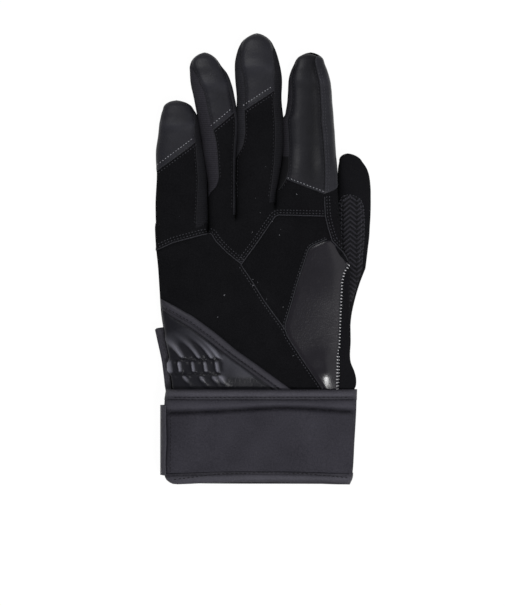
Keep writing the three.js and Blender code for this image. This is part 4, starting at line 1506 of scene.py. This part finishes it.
def beside(line, distance, step=0.5 * MM):
    """The line moved to its left by a distance, as evenly spaced points."""
    length = np.hypot(*np.diff(line, axis=0).T).sum()
    even = resample(line, max(3, int(length / step)))
    way = np.gradient(even, axis=0)
    way = way / np.maximum(np.hypot(*way.T)[:, None], 1e-12)
    return even + distance * np.stack([-way[:, 1], way[:, 0]], -1)


ray_start = 0.1


def press(x, y, pieces, from_below=False):
    """Where a ray from above, or from below, meets the first of the pieces."""
    best, way = None, 1 if from_below else -1
    for piece in pieces:
        hit, place, normal, _ = piece.ray_cast((x, y, -way * ray_start), (0, 0, way))
        if hit and (best is None or (place.z - best[0].z) * way < 0):
            best = (place, normal)
    return best


# Length, width and height of the stitches, in mm.
plain_stitch = (1.1, 0.5, 0.36)
fine_stitch = (1.0, 0.35, 0.26)
slit_stitch = (1.0, 0.35, 0.3)
tape_stitch = (1.6, 0.5, 0.3)
cuff_stitch = (1.7, 0.5, 0.3)
whip_stitch = (2.9, 0.75, 0.6)
steepest = 0.25


def sew(name, body, pieces, line, shift=0.0, pitch=1.75 * MM, size=plain_stitch, turned=False,
        from_below=False):
    """A row of stitches beside a line. Turned stitches lie across it. None are sewn on steep flanks."""
    path = beside(np.asarray(line, float), shift)
    length = np.hypot(*np.diff(path, axis=0).T).sum()
    stops = resample(path, max(2, int(length / pitch) + 1))
    points, faces = [], []
    for here, there in zip(stops[:-1], stops[1:]):
        found = press(*(here + there) / 2, pieces, from_below)
        if found is None or abs(found[1].z) < steepest:
            continue
        out = np.array(found[1])
        ahead = np.append(there - here, 0)
        if turned:
            ahead = np.array([-ahead[1], ahead[0], 0])
        ahead = ahead - out * (ahead @ out)
        ahead /= np.linalg.norm(ahead)
        frame_axes = np.array([ahead, np.cross(out, ahead), out]) * np.array(size)[:, None] * MM / 2
        faces += [[corner + len(points) * len(ball_points) for corner in face] for face in ball_faces]
        points.append(ball_points @ frame_axes + np.array(found[0]))
    if points:
        mesh = bpy.data.meshes.new(name)
        mesh.from_pydata(np.concatenate(points), [], faces)
        mesh.shade_smooth()
        obj = bpy.data.objects.new(name, mesh)
        bpy.context.scene.collection.objects.link(obj)
        stitch_rows[name] = (obj, body)


def cut_edge(name, body, pieces, line, shift=0.0, radius=0.3 * MM):
    """The pale cut edge of leather along a seam: a thin round cord half sunk in it."""
    path = beside(np.asarray(line, float), shift, 0.8 * MM)
    found = [press(x, y, pieces) for x, y in path]
    found = [np.array(place) for place, normal in (hit for hit in found if hit) if normal.z > 0.2]
    curve = bpy.data.curves.new(name, "CURVE")
    curve.dimensions = "3D"
    curve.bevel_depth, curve.bevel_resolution = radius, 1
    spline = curve.splines.new("POLY")
    spline.points.add(len(found) - 1)
    for point, place in zip(spline.points, found):
        point.co = (*place, 1)
    obj = bpy.data.objects.new(name, curve)
    bpy.context.scene.collection.objects.link(obj)
    select_all(obj)
    bpy.ops.object.convert(target="MESH")
    bpy.ops.object.shade_smooth()
    stitch_rows[name] = (bpy.context.object, body)


bpy.context.view_layer.update()
print("one stitch has", len(ball_faces), "faces")

# %% [markdown]
# The palm has double rows along the zigzag seam and along the root of the index finger, single
# rows beside the heel and the ball of the thumb, and pale whip stitches down the thumb's side.

# %% Stitches of the palm
palm_words = ("palm", "patch", "root", "side", "wrist_panel")
palm_pieces = [piece for node, piece in glove_pieces.items()
               if any(word in node for word in palm_words)]
zigzag = in_metres(knuckle_seam)
heel_line = in_metres(heel_right_seam + heel_seam[1:])
thenar_line, whip_line = in_metres(thenar_left_seam), in_metres(whip_seam)
double_rows = {
    "zigzag": zigzag[:8], "knuckle": zigzag[7:], "index_root": in_metres(index_seam[::-1]),
    "crotch": in_metres(thenar_top_seam[1:]),
}


def sew_palm(name, line, shift=0.0, *settings):
    sew(name, "glove", palm_pieces, line, shift, *settings)


for row, shift in (("a", 1.5 * MM), ("b", 3.0 * MM)):
    for seam, line in double_rows.items():
        sew_palm(f"grey_stitches_{seam}_{row}", line, shift)
sew_palm("grey_stitches_heel", heel_line, 1.6 * MM)
sew_palm("grey_stitches_thenar", thenar_line, 1.2 * MM)
sew_palm("pale_stitches_whip", whip_line, 0, 1.76 * MM, whip_stitch, True)
sew_palm("dark_stitches_wrist_tape", in_metres(wrist_seam), -3.3 * MM, 2.2 * MM, tape_stitch)
for row, share in (("low", gather_low), ("high", gather_high)):
    line = in_metres([[gather_left, share], [gather_right, share]])
    sew_palm("dark_stitches_gather_" + row, line, 0, 1.4 * MM)
for seam, line in (*double_rows.items(), ("heel", heel_line)):
    cut_edge("edge_" + seam, "glove", palm_pieces, line, 0.25 * MM)
cut_edge("edge_thenar", "glove", palm_pieces, thenar_line, 0.2 * MM)
cut_edge("edge_whip", "glove", palm_pieces, whip_line, 0, 0.35 * MM)
print("rows on the palm:", len(stitch_rows))

# %% [markdown]
# On the fingers every tip leather has a row on its folded hem, and all but the index finger's have
# another in the suede below.
# The strips between the fingers are sewn in with a fine row on each side.

# %% Stitches of the fingers and the thumb
for name, finger in fingers.items():
    body, pieces, form = name + "_finger", list(finger_pieces[name].values()), finger_forms[name]
    seam = patch_seam(finger, seam_ends(finger), np.linspace(0, 1, 24))
    line = form.point(seam[:, 0], seam[:, 1])[:, :2]
    sew(f"light_stitches_{name}_hem", body, pieces, line, (0.8 if name == "index" else 2.5) * MM)
    if name != "index":
        sew(f"grey_stitches_{name}_below_hem", body, pieces, line, -1.5 * MM)
    cut_edge(f"edge_{name}_hem", body, pieces, line, 0.2 * MM)
    for hand, way in (("left", -1), ("right", 1)):
        if hand in finger:
            start = 0.22 if (name, hand) == ("ring", "left") else 0.03
            places = np.linspace(start, 0.9, 60)
            line = form.point(strip_angle(finger, hand, places), places)[:, :2]
            sew(f"dim_stitches_{name}_{hand}", body, pieces, line, way * 0.9 * MM, 1.9 * MM,
                fine_stitch)
            cut_edge(f"edge_{name}_{hand}", body, pieces, line, 0, 0.22 * MM)
places = np.linspace(0.03, 0.88, 60)
line = finger_forms["index"].point(strip_angle(index, "right", places), places)[:, :2]
index_list = list(finger_pieces["index"].values())
for row, shift in (("a", -0.9 * MM), ("b", -2.2 * MM)):
    sew("grey_stitches_index_side_" + row, "index_finger", index_list, line, shift)

thumb_list = list(thumb_pieces.values())
outline = np.vstack([grip_edges[1], grip_edges[3][::-1], grip_edges[0][::-1]])
line = thumb_form.point(outline[:, 0], outline[:, 1])[:, :2]
for row, shift in (("a", 0.1 * MM), ("b", 1.7 * MM)):
    sew("grey_stitches_grip_" + row, "thumb", thumb_list, line[4:-4], shift)
print("rows in all:", len(stitch_rows))

# %% [markdown]
# The cuff's tapes and its band are sewn with dark thread, and the strap's fold is tacked to the
# cuff at two places. On the back, rows run round the loop patch and round the free strap.

# %% Stitches of the cuff and the strap
cuff_pieces = [
    glove_pieces[node]
    for node in ("cuff_band", "cuff_top_binding", "cuff_bottom_binding", "strap_anchor")
]
sewn_from, sewn_to = 0.1, 1.04


def sew_cuff(name, line, pitch=2.4 * MM, size=plain_stitch, **settings):
    sew(name, "glove", cuff_pieces, line, 0, pitch, size, **settings)


def across_cuff(downs, start=sewn_from, end=sewn_to):
    """A line across the cuff that is this many mm below its top edge at even stops."""
    shares = np.linspace(start, end, 30)
    down = np.interp(shares, np.linspace(start, end, len(downs)), downs)
    return np.stack([across(shares), cuff_line - down * MM], -1)


sew_cuff("dark_stitches_cuff_top", across_cuff([4.3, 4.3]), size=cuff_stitch)
seam_down = smooth(band_seam, np.linspace(0.06, 0.97, 12))[..., 0] / MM
sew_cuff("dark_stitches_cuff_band", across_cuff(seam_down), size=cuff_stitch)
bottom_down = [49.4, 46.2, 45.4, 45.9, 48.4]
sew_cuff("dark_stitches_cuff_bottom", across_cuff(bottom_down), size=cuff_stitch)
fold_x = across(0.042)
for end, down in (("high", 11.8), ("low", 42)):
    line = [[fold_x, cuff_line - down * MM], [fold_x + 5 * MM, cuff_line - (down + 0.4) * MM]]
    sew_cuff("grey_stitches_fold_" + end, line, 1.3 * MM)
line = [[fold_x + 4.6 * MM, cuff_line - 10 * MM], [fold_x + 4.2 * MM, cuff_line - 46 * MM]]
sew_cuff("dark_stitches_fold", line, 2 * MM)

slit_line = [[across(palm_edge_shares(np.array(share))[0]) - 2.4 * MM, along(share)]
             for share in np.linspace(0.02, 0.31, 12)]
sew("grey_stitches_slit", "glove", [glove_pieces["slit_binding"]], slit_line, 0, 1.6 * MM,
    slit_stitch)


def frame_line(low, high, inset):
    """A rectangle inside a box, seen from above."""
    a, b, c, d = low[0] + inset, low[1] + inset, high[0] - inset, high[1] - inset
    return [[a, b], [c, b], [c, d], [a, d], [a, b]]


loop_line = frame_line(*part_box("loop_patch"), 1.5 * MM)
sew("dark_stitches_loop_patch", "glove", [glove_pieces["loop_patch"]], loop_line, 0, 2.2 * MM,
    from_below=True)
strap_line = [
    [-50 * MM, strap_low + 2 * MM], [13 * MM, strap_low + 2 * MM], [17 * MM, strap_low + 7 * MM],
    [17 * MM, strap_high - 7 * MM], [13 * MM, strap_high - 2 * MM], [-50 * MM, strap_high - 2 * MM],
]
sew("dark_stitches_strap", "strap", [strap_parts["closure_strap"]], strap_line, 0, 2.2 * MM,
    from_below=True)
back_line = [[across(share), cuff_line - 4.2 * MM] for share in np.linspace(sewn_from, sewn_to, 20)]
sew_cuff("dark_stitches_cuff_back", back_line, from_below=True)
stitch_faces = sum(len(obj.data.polygons) for obj, _ in stitch_rows.values())
print("stitch rows:", len(stitch_rows), "faces:", stitch_faces)

# %% [markdown]
# A material is a small sum of patterns. The class below wraps one shader socket, so patterns are
# written as plain arithmetic. All patterns use each piece's own coordinates in metres.

# %% Material tools


class Value:
    """A number that a shader works out, such as a pattern's value at a point."""

    def __init__(self, tree, socket):
        self.tree, self.socket = tree, socket

    def math(self, operation, *values):
        made = self.tree.nodes.new("ShaderNodeMath")
        made.operation = operation
        for socket, value in zip(made.inputs, values):
            feed(self.tree, socket, value)
        return Value(self.tree, made.outputs[0])

    def __add__(self, other):
        return self.math("ADD", self, other)

    def __sub__(self, other):
        return self.math("SUBTRACT", self, other)

    def __mul__(self, other):
        return self.math("MULTIPLY", self, other)

    def __truediv__(self, other):
        return self.math("DIVIDE", self, other)

    def sine(self):
        return self.math("SINE", self)

    def above(self, limit):
        return self.math("GREATER_THAN", self, limit)

    def absolute(self):
        return self.math("ABSOLUTE", self)

    def fraction(self):
        return self.math("FRACT", self)


def feed(tree, socket, value):
    if isinstance(value, Value):
        tree.links.new(value.socket, socket)
    else:
        socket.default_value = value


def linear(shade):
    """Light value of a screen value from 0 to 255."""
    share = shade / 255
    return share / 12.92 if share <= 0.04045 else ((share + 0.055) / 1.055) ** 2.4


noise_gain = 2.6


def screen_colour(shade):
    """The colour that a shader needs for a screen colour from 0 to 255."""
    return (*(linear(part) for part in shade), 1)


class Look:
    """One material. Its patterns start from the piece's own coordinates."""

    def __init__(self, name, roughness=0.8, specular=0.3, **settings):
        self.material = bpy.data.materials.new(name)
        self.material.use_nodes = True
        self.tree = self.material.node_tree
        self.shader = self.tree.nodes["Principled BSDF"]
        for socket, value in {"Roughness": roughness, "Specular IOR Level": specular, **settings}.items():
            self.shader.inputs[socket.replace("_", " ")].default_value = value
        self.place = self.node("ShaderNodeTexCoord", output="Object")
        axes = self.tree.nodes.new("ShaderNodeSeparateXYZ")
        feed(self.tree, axes.inputs[0], self.place)
        self.x, self.y, self.z = (Value(self.tree, socket) for socket in axes.outputs)

    def node(self, kind, settings=None, inputs=None, output=0):
        made = self.tree.nodes.new(kind)
        for key, value in (settings or {}).items():
            setattr(made, key, value)
        for key, value in (inputs or {}).items():
            feed(self.tree, made.inputs[key], value)
        return Value(self.tree, made.outputs[output])

    def noise(self, size, detail=2.0):
        """Soft noise from about -1 to 1, with bumps of this size in mm."""
        inputs = {"Vector": self.place, "Scale": 1000 / size, "Detail": detail}
        return (self.node("ShaderNodeTexNoise", {}, inputs) - 0.5) * noise_gain

    def grain(self, size):
        inputs = {"Vector": self.place, "Scale": 1000 / size}
        return self.node("ShaderNodeTexVoronoi", {"feature": "F1"}, inputs)

    def threads(self, axis, size):
        """Waves from 0 to 1 across one axis, a little uneven, as far apart as this size in mm."""
        wave = getattr(self, axis) * (2 * math.pi * 1000 / size) + self.noise(3) * 0.8
        return wave.sine() * 0.5 + 0.5

    def raised(self):
        """How far the piece stands out here, in mm. The leathers and jerseys paint light and shade from
        it.
        """
        return self.node("ShaderNodeAttribute", {"attribute_name": "raised"}, output=2)

    def mix_colours(self, share):
        """Makes the base colour a mix of two, and returns the two sockets to set."""
        mixed = self.tree.nodes.new("ShaderNodeMix")
        mixed.data_type = "RGBA"
        feed(self.tree, mixed.inputs[0], share)
        self.tree.links.new(mixed.outputs[2], self.shader.inputs["Base Color"])
        return mixed.inputs[6], mixed.inputs[7]

    def colour(self, dark, light, share):
        """Runs from the dark to the light screen colour as the share goes from 0 to 1."""
        for socket, shade in zip(self.mix_colours(share), (dark, light)):
            socket.default_value = screen_colour(shade)

    def spots(self, mask, shade):
        """Lays spots of one screen colour over the colour below."""
        under = self.shader.inputs["Base Color"].links[0].from_socket
        below, above = self.mix_colours(mask)
        self.tree.links.new(under, below)
        above.default_value = screen_colour(shade)

    def rough(self, value):
        feed(self.tree, self.shader.inputs["Roughness"], value)

    def bump(self, height, depth, strength=1.0):
        """Height runs from 0 to 1 and stands for this depth in mm."""
        inputs = {"Height": height, "Distance": depth * MM, "Strength": strength}
        made = self.node("ShaderNodeBump", {}, inputs)
        self.tree.links.new(made.socket, self.shader.inputs["Normal"])


print("look of screen 128:", round(linear(128), 3))

# %% [markdown]
# Suede drinks the light, so it has almost no gloss, a fine nap and a few pale specks of lint.
# Smooth leather has pores and soft wear, and its folds get a painted highlight on their crests and
# painted shade in their hollows. The patch on the ball of the thumb is waxed and shines.

# %% Leather looks
looks = {}
lint_shade = (92, 92, 96)


def suede(name, dark, light, lint=0.0):
    """Matt nap with broad worn patches. Lint is how clearly its specks show."""
    look = Look(name, roughness=0.95, specular=0.03)
    nap = look.noise(0.9, 3) * 0.5 + look.noise(14) * 0.35
    look.colour(dark, light, nap * 0.5 + 0.42)
    if lint:
        specks = (look.noise(1.5, 0) + look.noise(11) * 0.35).above(0.98)
        look.spots(specks * lint, lint_shade)
    look.bump(look.noise(0.7, 3), 0.12, 0.7)
    looks[name] = look.material


def smooth_leather(name, dark, light, roughness, specular, painted_relief_shading=0.5, grain=0.1, flat=0.5,
                   **settings):
    """Folds are polished light at their crests and stay dark in their hollows.

    Flat is the share of the light colour where the leather lies flat. Painted relief shading is the share
    that each mm of height adds, and grain is the depth of the pores in mm.
    """
    look = Look(name, roughness, specular, **settings)
    wear = look.noise(9, 3) * 0.5 + look.noise(1.6, 2) * 0.3
    # Painted highlight on crests and painted shade in hollows, from the piece's height.
    look.colour(dark, light, wear * (0.8 * flat) + look.raised() * painted_relief_shading + flat)
    look.rough(look.noise(3) * 0.06 + roughness)
    look.bump(look.grain(0.9) * 0.7 + look.noise(2.5) * 0.4, grain, 0.6)
    looks[name] = look.material


suede("suede", (4, 4, 5), (17, 17, 19), 0.7)
suede("thumb_suede", (7, 7, 9), (18, 18, 20))
smooth_leather("pinky_leather", (13, 13, 16), (29, 29, 34), 0.5, 0.1)
smooth_leather("tip_leather", (12, 12, 15), (29, 29, 34), 0.42, 0.11)
smooth_leather("index_leather", (8, 8, 11), (24, 24, 28), 0.42, 0.1)
# The wrist leather's folds get a strong painted highlight on their crests, painted shade in their valleys
# and painted shadow just above the cuff. The wrist tape is painted lighter on its crest and darker in its
# stitched groove.
smooth_leather("wrist_leather", (17, 17, 21), (92, 92, 100), 0.34, 0.09, 0.55, flat=0.09)
smooth_leather("wrist_tape", (6, 6, 9), (46, 45, 51), 0.45, 0.1, 0.4, flat=0.3)
smooth_leather(
    "thenar_gloss", (5, 4, 8), (19, 17, 23), 0.35, 0.04, 0.0, 0.24,
    Coat_Weight=0.42, Coat_Roughness=0.22)
print("leathers:", sorted(looks))

# %% [markdown]
# The knit strips, the ribbed grip, the neoprene and the tapes are textiles: their threads are
# waves that run along one axis, broken up with a little noise.

# %% Textile looks


strip_pitch = 1.1  # mm from thread to thread in the strips between the fingers


def knit(name, dark, light, ribs, size, depth, specular=0.2, roughness=0.85):
    """Ribs is the coordinate that the threads cross."""
    look = Look(name, roughness, specular)
    wave = look.threads(ribs, size)
    fluff = look.noise(0.8, 3) * 0.28
    look.colour(dark, light, wave * 0.45 + fluff + look.noise(12) * 0.2 + 0.28)
    look.bump(wave * 0.6 + look.noise(0.6, 2) * 0.5, depth, 0.8)
    looks[name] = look.material


def jersey(name, dark, light, specular, roughness, relief=0.0):
    """Neoprene is faced with a knit so fine that only its grain shows.

    Relief is the share of the light colour that each mm of a fold's height adds: a painted highlight on
    crests and painted shade in grooves.
    """
    look = Look(name, roughness, specular)
    grain = look.noise(0.8, 3)
    # Painted highlight on crests and painted shade in grooves, from the piece's height.
    look.colour(dark, light, grain * 0.3 + look.noise(16) * 0.14 + look.raised() * relief + 0.5)
    look.bump(grain * 0.5 + 0.5, 0.2, 0.8)
    looks[name] = look.material


def half_knit(name, dark, light, from_y):
    """A knit strip whose lower part, up to this height in mm, is covered with black suede."""
    look = Look(name, 0.85, 0.08)
    wave = look.threads("y", strip_pitch)
    open_part = (look.y * 1000).above(from_y)
    look.colour(dark, light, (wave * 0.45 + look.noise(0.8, 3) * 0.28 + 0.3) * open_part)
    look.bump(wave * open_part * 0.6 + look.noise(0.6, 2) * 0.5, 0.12, 0.8)
    looks[name] = look.material


grip_middle = 47.9  # x of the middle of the thumb's grip, in mm


def herringbone(name, dark, light, width, pitch):
    """Slanted ribs whose slant turns at the middle and at the edges of each column."""
    look = Look(name, 0.8, 0.1)
    column = ((look.x * 1000 - grip_middle) / width + 0.5).fraction()
    slope = (column - 0.5).absolute() * width * 0.8
    ridge = ((look.y * 1000 + slope) * (2 * math.pi / pitch)).sine() * 0.5 + 0.5
    groove = (column - 0.5).absolute().above(0.44)
    look.colour(dark, light, ridge * 0.8 + look.noise(0.8) * 0.12 - groove * 0.3)
    look.bump(ridge - groove * 0.8, 0.5, 1.0)
    looks[name] = look.material


knit("ring_strip", (18, 17, 21), (36, 35, 40), "y", strip_pitch, 0.12, 0.08)
knit("middle_strip", (14, 14, 17), (32, 32, 36), "y", strip_pitch, 0.12, 0.08)
knit("dark_strip", (8, 8, 10), (22, 22, 25), "y", strip_pitch, 0.12, 0.05)
half_knit("index_strip", (8, 8, 10), (34, 33, 38), 55.9)
# The neoprene and the tapes get painted light on their crests and painted shade in their grooves.
jersey("neoprene", (13, 12, 17), (48, 47, 53), 0.07, 0.85, 0.3)
# The strap's fold is the same neoprene drawn lighter: painted light on the fold where it stands up round
# the cuff's edge.
jersey("strap_fold", (24, 23, 28), (59, 58, 64), 0.1, 0.8)
jersey("binding", (8, 7, 11), (52, 51, 57), 0.08, 0.6, 0.36)
knit("elastic", (28, 28, 31), (60, 60, 64), "x", 1.0, 0.3)
knit("loop_pile", (22, 22, 24), (58, 58, 62), "x", 0.7, 0.5)
knit("hook_pile", (18, 18, 20), (70, 70, 74), "y", 1.1, 0.6, 0.4, 0.5)
herringbone("grip", (4, 4, 6), (33, 32, 37), 7.5, 2.6)


def thread(name, dark, light, roughness):
    look = Look(name, roughness, 0.1)
    look.colour(dark, light, look.noise(0.8) * 0.5 + 0.5)
    look.bump(look.noise(0.3), 0.05, 0.5)
    looks[name] = look.material


# The grey and dim threads stand for near-black thread: their grey is a painted highlight for the light
# that the thread catches.
thread("grey_thread", (28, 28, 31), (50, 50, 55), 0.7)
thread("dim_thread", (22, 22, 25), (42, 42, 46), 0.7)
thread("light_thread", (76, 76, 80), (122, 122, 128), 0.6)
thread("pale_thread", (110, 110, 112), (170, 170, 172), 0.5)
thread("dark_thread", (8, 8, 10), (18, 18, 20), 0.8)
thread("cut_edge", (22, 22, 25), (40, 40, 44), 0.8)
thread("dim_edge", (14, 14, 16), (28, 28, 31), 0.8)
print("looks:", len(looks))

# %% [markdown]
# Each piece gets its look here. A table lists each look under the imported model's slot that it stands
# for.

# %% Give each piece its look
looks_of_slot = {
    "suede": ("suede", "thumb_suede"),
    "smooth_leather": ("pinky_leather", "tip_leather", "index_leather", "wrist_leather"),
    "glossy_leather": ("thenar_gloss",),
    "stretch_fabric": ("ring_strip", "middle_strip", "dark_strip", "index_strip"),
    "neoprene": ("neoprene", "strap_fold"),
    "binding": ("binding", "wrist_tape"),
    "elastic": ("elastic",),
    "hook_and_loop": ("loop_pile", "hook_pile"),
    "ribbed_grip": ("grip",),
}
slots = {look: slot for slot, of_slot in looks_of_slot.items() for look in of_slot}
pieces_of_look = {
    "thumb_suede": ("thumb_front_suede", "thumb_back_suede", "thumb_root_suede", "thumb_side_suede"),
    "pinky_leather": ("pinky_tip_leather",),
    "tip_leather": ("ring_tip_leather", "middle_tip_leather", "index_side_leather"),
    "index_leather": ("index_tip_leather",),
    "wrist_leather": ("wrist_leather",),
    "thenar_gloss": ("thenar_gloss",),
    "ring_strip": ("ring_left_strip",),
    "middle_strip": ("ring_right_strip", "middle_left_strip"),
    "dark_strip": ("pinky_right_strip", "middle_right_strip"),
    "index_strip": ("index_left_strip",),
    "neoprene": ("cuff_neoprene", "strap_neoprene"),
    "strap_fold": ("strap_fold_neoprene",),
    "binding": ("cuff_top_tape", "cuff_bottom_tape", "slit_tape"),
    "wrist_tape": ("wrist_tape",),
    "elastic": ("wrist_elastic_tape",),
    "loop_pile": ("loop_pile",),
    "hook_pile": ("hook_pile",),
    "grip": ("thumb_grip_rib", "thumb_root_rib"),
}
look_of = {piece: look for look, pieces in pieces_of_look.items() for piece in pieces}


def dress(piece, look):
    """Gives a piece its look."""
    piece.data.materials.clear()
    piece.data.materials.append(looks[look])
    look in slots


for parts in (*finger_pieces.values(), thumb_pieces, glove_pieces, strap_parts):
    for piece in parts.values():
        dress(piece, look_of.get(piece.name, "suede"))
for name, (piece, body) in stitch_rows.items():
    edge_look = "dim_edge" if name.endswith(("_left", "_right")) else "cut_edge"
    dress(piece, name.split("_")[0] + "_thread" if "stitches" in name else edge_look)
print("pieces that are not plain suede:", len(look_of))

# %% [markdown]
# The glove's and the strap's pieces and their stitches ride on the body that carries them. The fingers,
# the thumb and their trim keep the place they were laid in, and the imported nodes that they stand for
# are hidden.

# %% Fasten the pieces to the bodies
finger_nodes = {
    "front_suede": "front_panel", "tip_leather": "tip_patch", "back_suede": "back_panel",
    "left_strip": "left_fourchette", "right_strip": "right_fourchette",
}


def bend_at(piece, body, joint):
    """Bakes the piece's place into its mesh; its body and joint are not used."""
    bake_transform(piece)


for name, parts in finger_pieces.items():
    for part, piece in parts.items():
        bend_at(piece, name + "_finger", name + "_flex")
        node = f"{name}_{finger_nodes.get(part)}"
        if node in frame["nodes"]:
            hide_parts(node)
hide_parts("index_front_leather")
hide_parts("index_side_strip")

thumb_nodes = {
    "front": "thumb_front_panel", "grip": "thumb_grip_insert", "back": "thumb_back_panel",
}
for part, node in thumb_nodes.items():
    bend_at(thumb_pieces[part], "thumb", "thumb_spread")
    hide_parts(node)

for body, parts in (("glove", glove_pieces), ("strap", strap_parts)):
    for node, piece in parts.items():
        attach(piece, body)
        if node in frame["nodes"]:
            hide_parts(node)
for piece, body in stitch_rows.values():
    if body in ("glove", "strap"):
        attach(piece, body)
    elif body == "thumb":
        bend_at(piece, body, "thumb_spread")
    else:
        bend_at(piece, body, body.replace("_finger", "_flex"))
hidden = sum(node.hide_render for node in frame["nodes"].values())
print("hidden nodes:", hidden, "of", len(frame["nodes"]))

# %% [markdown]
# A large soft lamp above the fingers, a small one below the cuff and a weak one from the side
# light the glove as in a studio. The floor is white and keeps a faint shadow.

# %% Floor and light


def flat_material(name, colour, roughness):
    material = bpy.data.materials.new(name)
    material.use_nodes = True
    shader = material.node_tree.nodes["Principled BSDF"]
    shader.inputs["Base Color"].default_value = (*colour, 1)
    shader.inputs["Roughness"].default_value = roughness
    return material


def area_lamp(name, place, size, watts):
    """A rectangular lamp that points at the middle of the picture."""
    data = bpy.data.lights.new(name, "AREA")
    data.shape = "RECTANGLE"
    data.size, data.size_y = size
    data.energy = watts
    lamp = bpy.data.objects.new(name, data)
    bpy.context.scene.collection.objects.link(lamp)
    lamp.location = place
    aim = np.array([view_centre_x, view_centre_y, 0]) - place
    tilt, turn = math.atan2(math.hypot(aim[0], aim[1]), -aim[2]), math.atan2(-aim[0], aim[1])
    lamp.rotation_euler = (tilt, 0, turn)


bpy.ops.object.select_all(action="DESELECT")
bpy.ops.mesh.primitive_plane_add(size=6, location=(0, 0, 0))
floor = bpy.context.object
floor.name = "floor"
floor_material = flat_material("floor_white", (0.9, 0.9, 0.9), 0.9)
floor.data.materials.append(floor_material)

# The camera sees most of the floor as plain white, so only a faint shadow is left on it.
plain_white_share = 0.96
tree = floor_material.node_tree
path = tree.nodes.new("ShaderNodeLightPath")
lift = tree.nodes.new("ShaderNodeMixShader")
white = tree.nodes.new("ShaderNodeEmission")
seen = tree.nodes.new("ShaderNodeMath")
seen.operation = "MULTIPLY"
seen.inputs[1].default_value = plain_white_share
tree.links.new(path.outputs["Is Camera Ray"], seen.inputs[0])
tree.links.new(seen.outputs[0], lift.inputs[0])
tree.links.new(tree.nodes["Principled BSDF"].outputs[0], lift.inputs[1])
tree.links.new(white.outputs[0], lift.inputs[2])

# From below the floor is clear, so the back of the glove can be looked at.
below = tree.nodes.new("ShaderNodeMixShader")
clear = tree.nodes.new("ShaderNodeBsdfTransparent")
facing = tree.nodes.new("ShaderNodeNewGeometry")
tree.links.new(facing.outputs["Backfacing"], below.inputs[0])
tree.links.new(lift.outputs[0], below.inputs[1])
tree.links.new(clear.outputs[0], below.inputs[2])
tree.links.new(below.outputs[0], tree.nodes["Material Output"].inputs["Surface"])

area_lamp("key_lamp", (-0.45, 1.1, 1.3), (0.8, 0.8), 20)
area_lamp("low_lamp", (0.45, -0.8, 1.5), (0.34, 0.34), 28)
area_lamp("side_lamp", (1.2, 0.1, 1.2), (1.6, 1.6), 8)
world = bpy.data.worlds.new("world")
world.use_nodes = True
background = world.node_tree.nodes["Background"]
background.inputs["Color"].default_value = (1, 1, 1, 1)
background.inputs["Strength"].default_value = 0.45
bpy.context.scene.world = world
bpy.context.scene.view_settings.view_transform = "Standard"
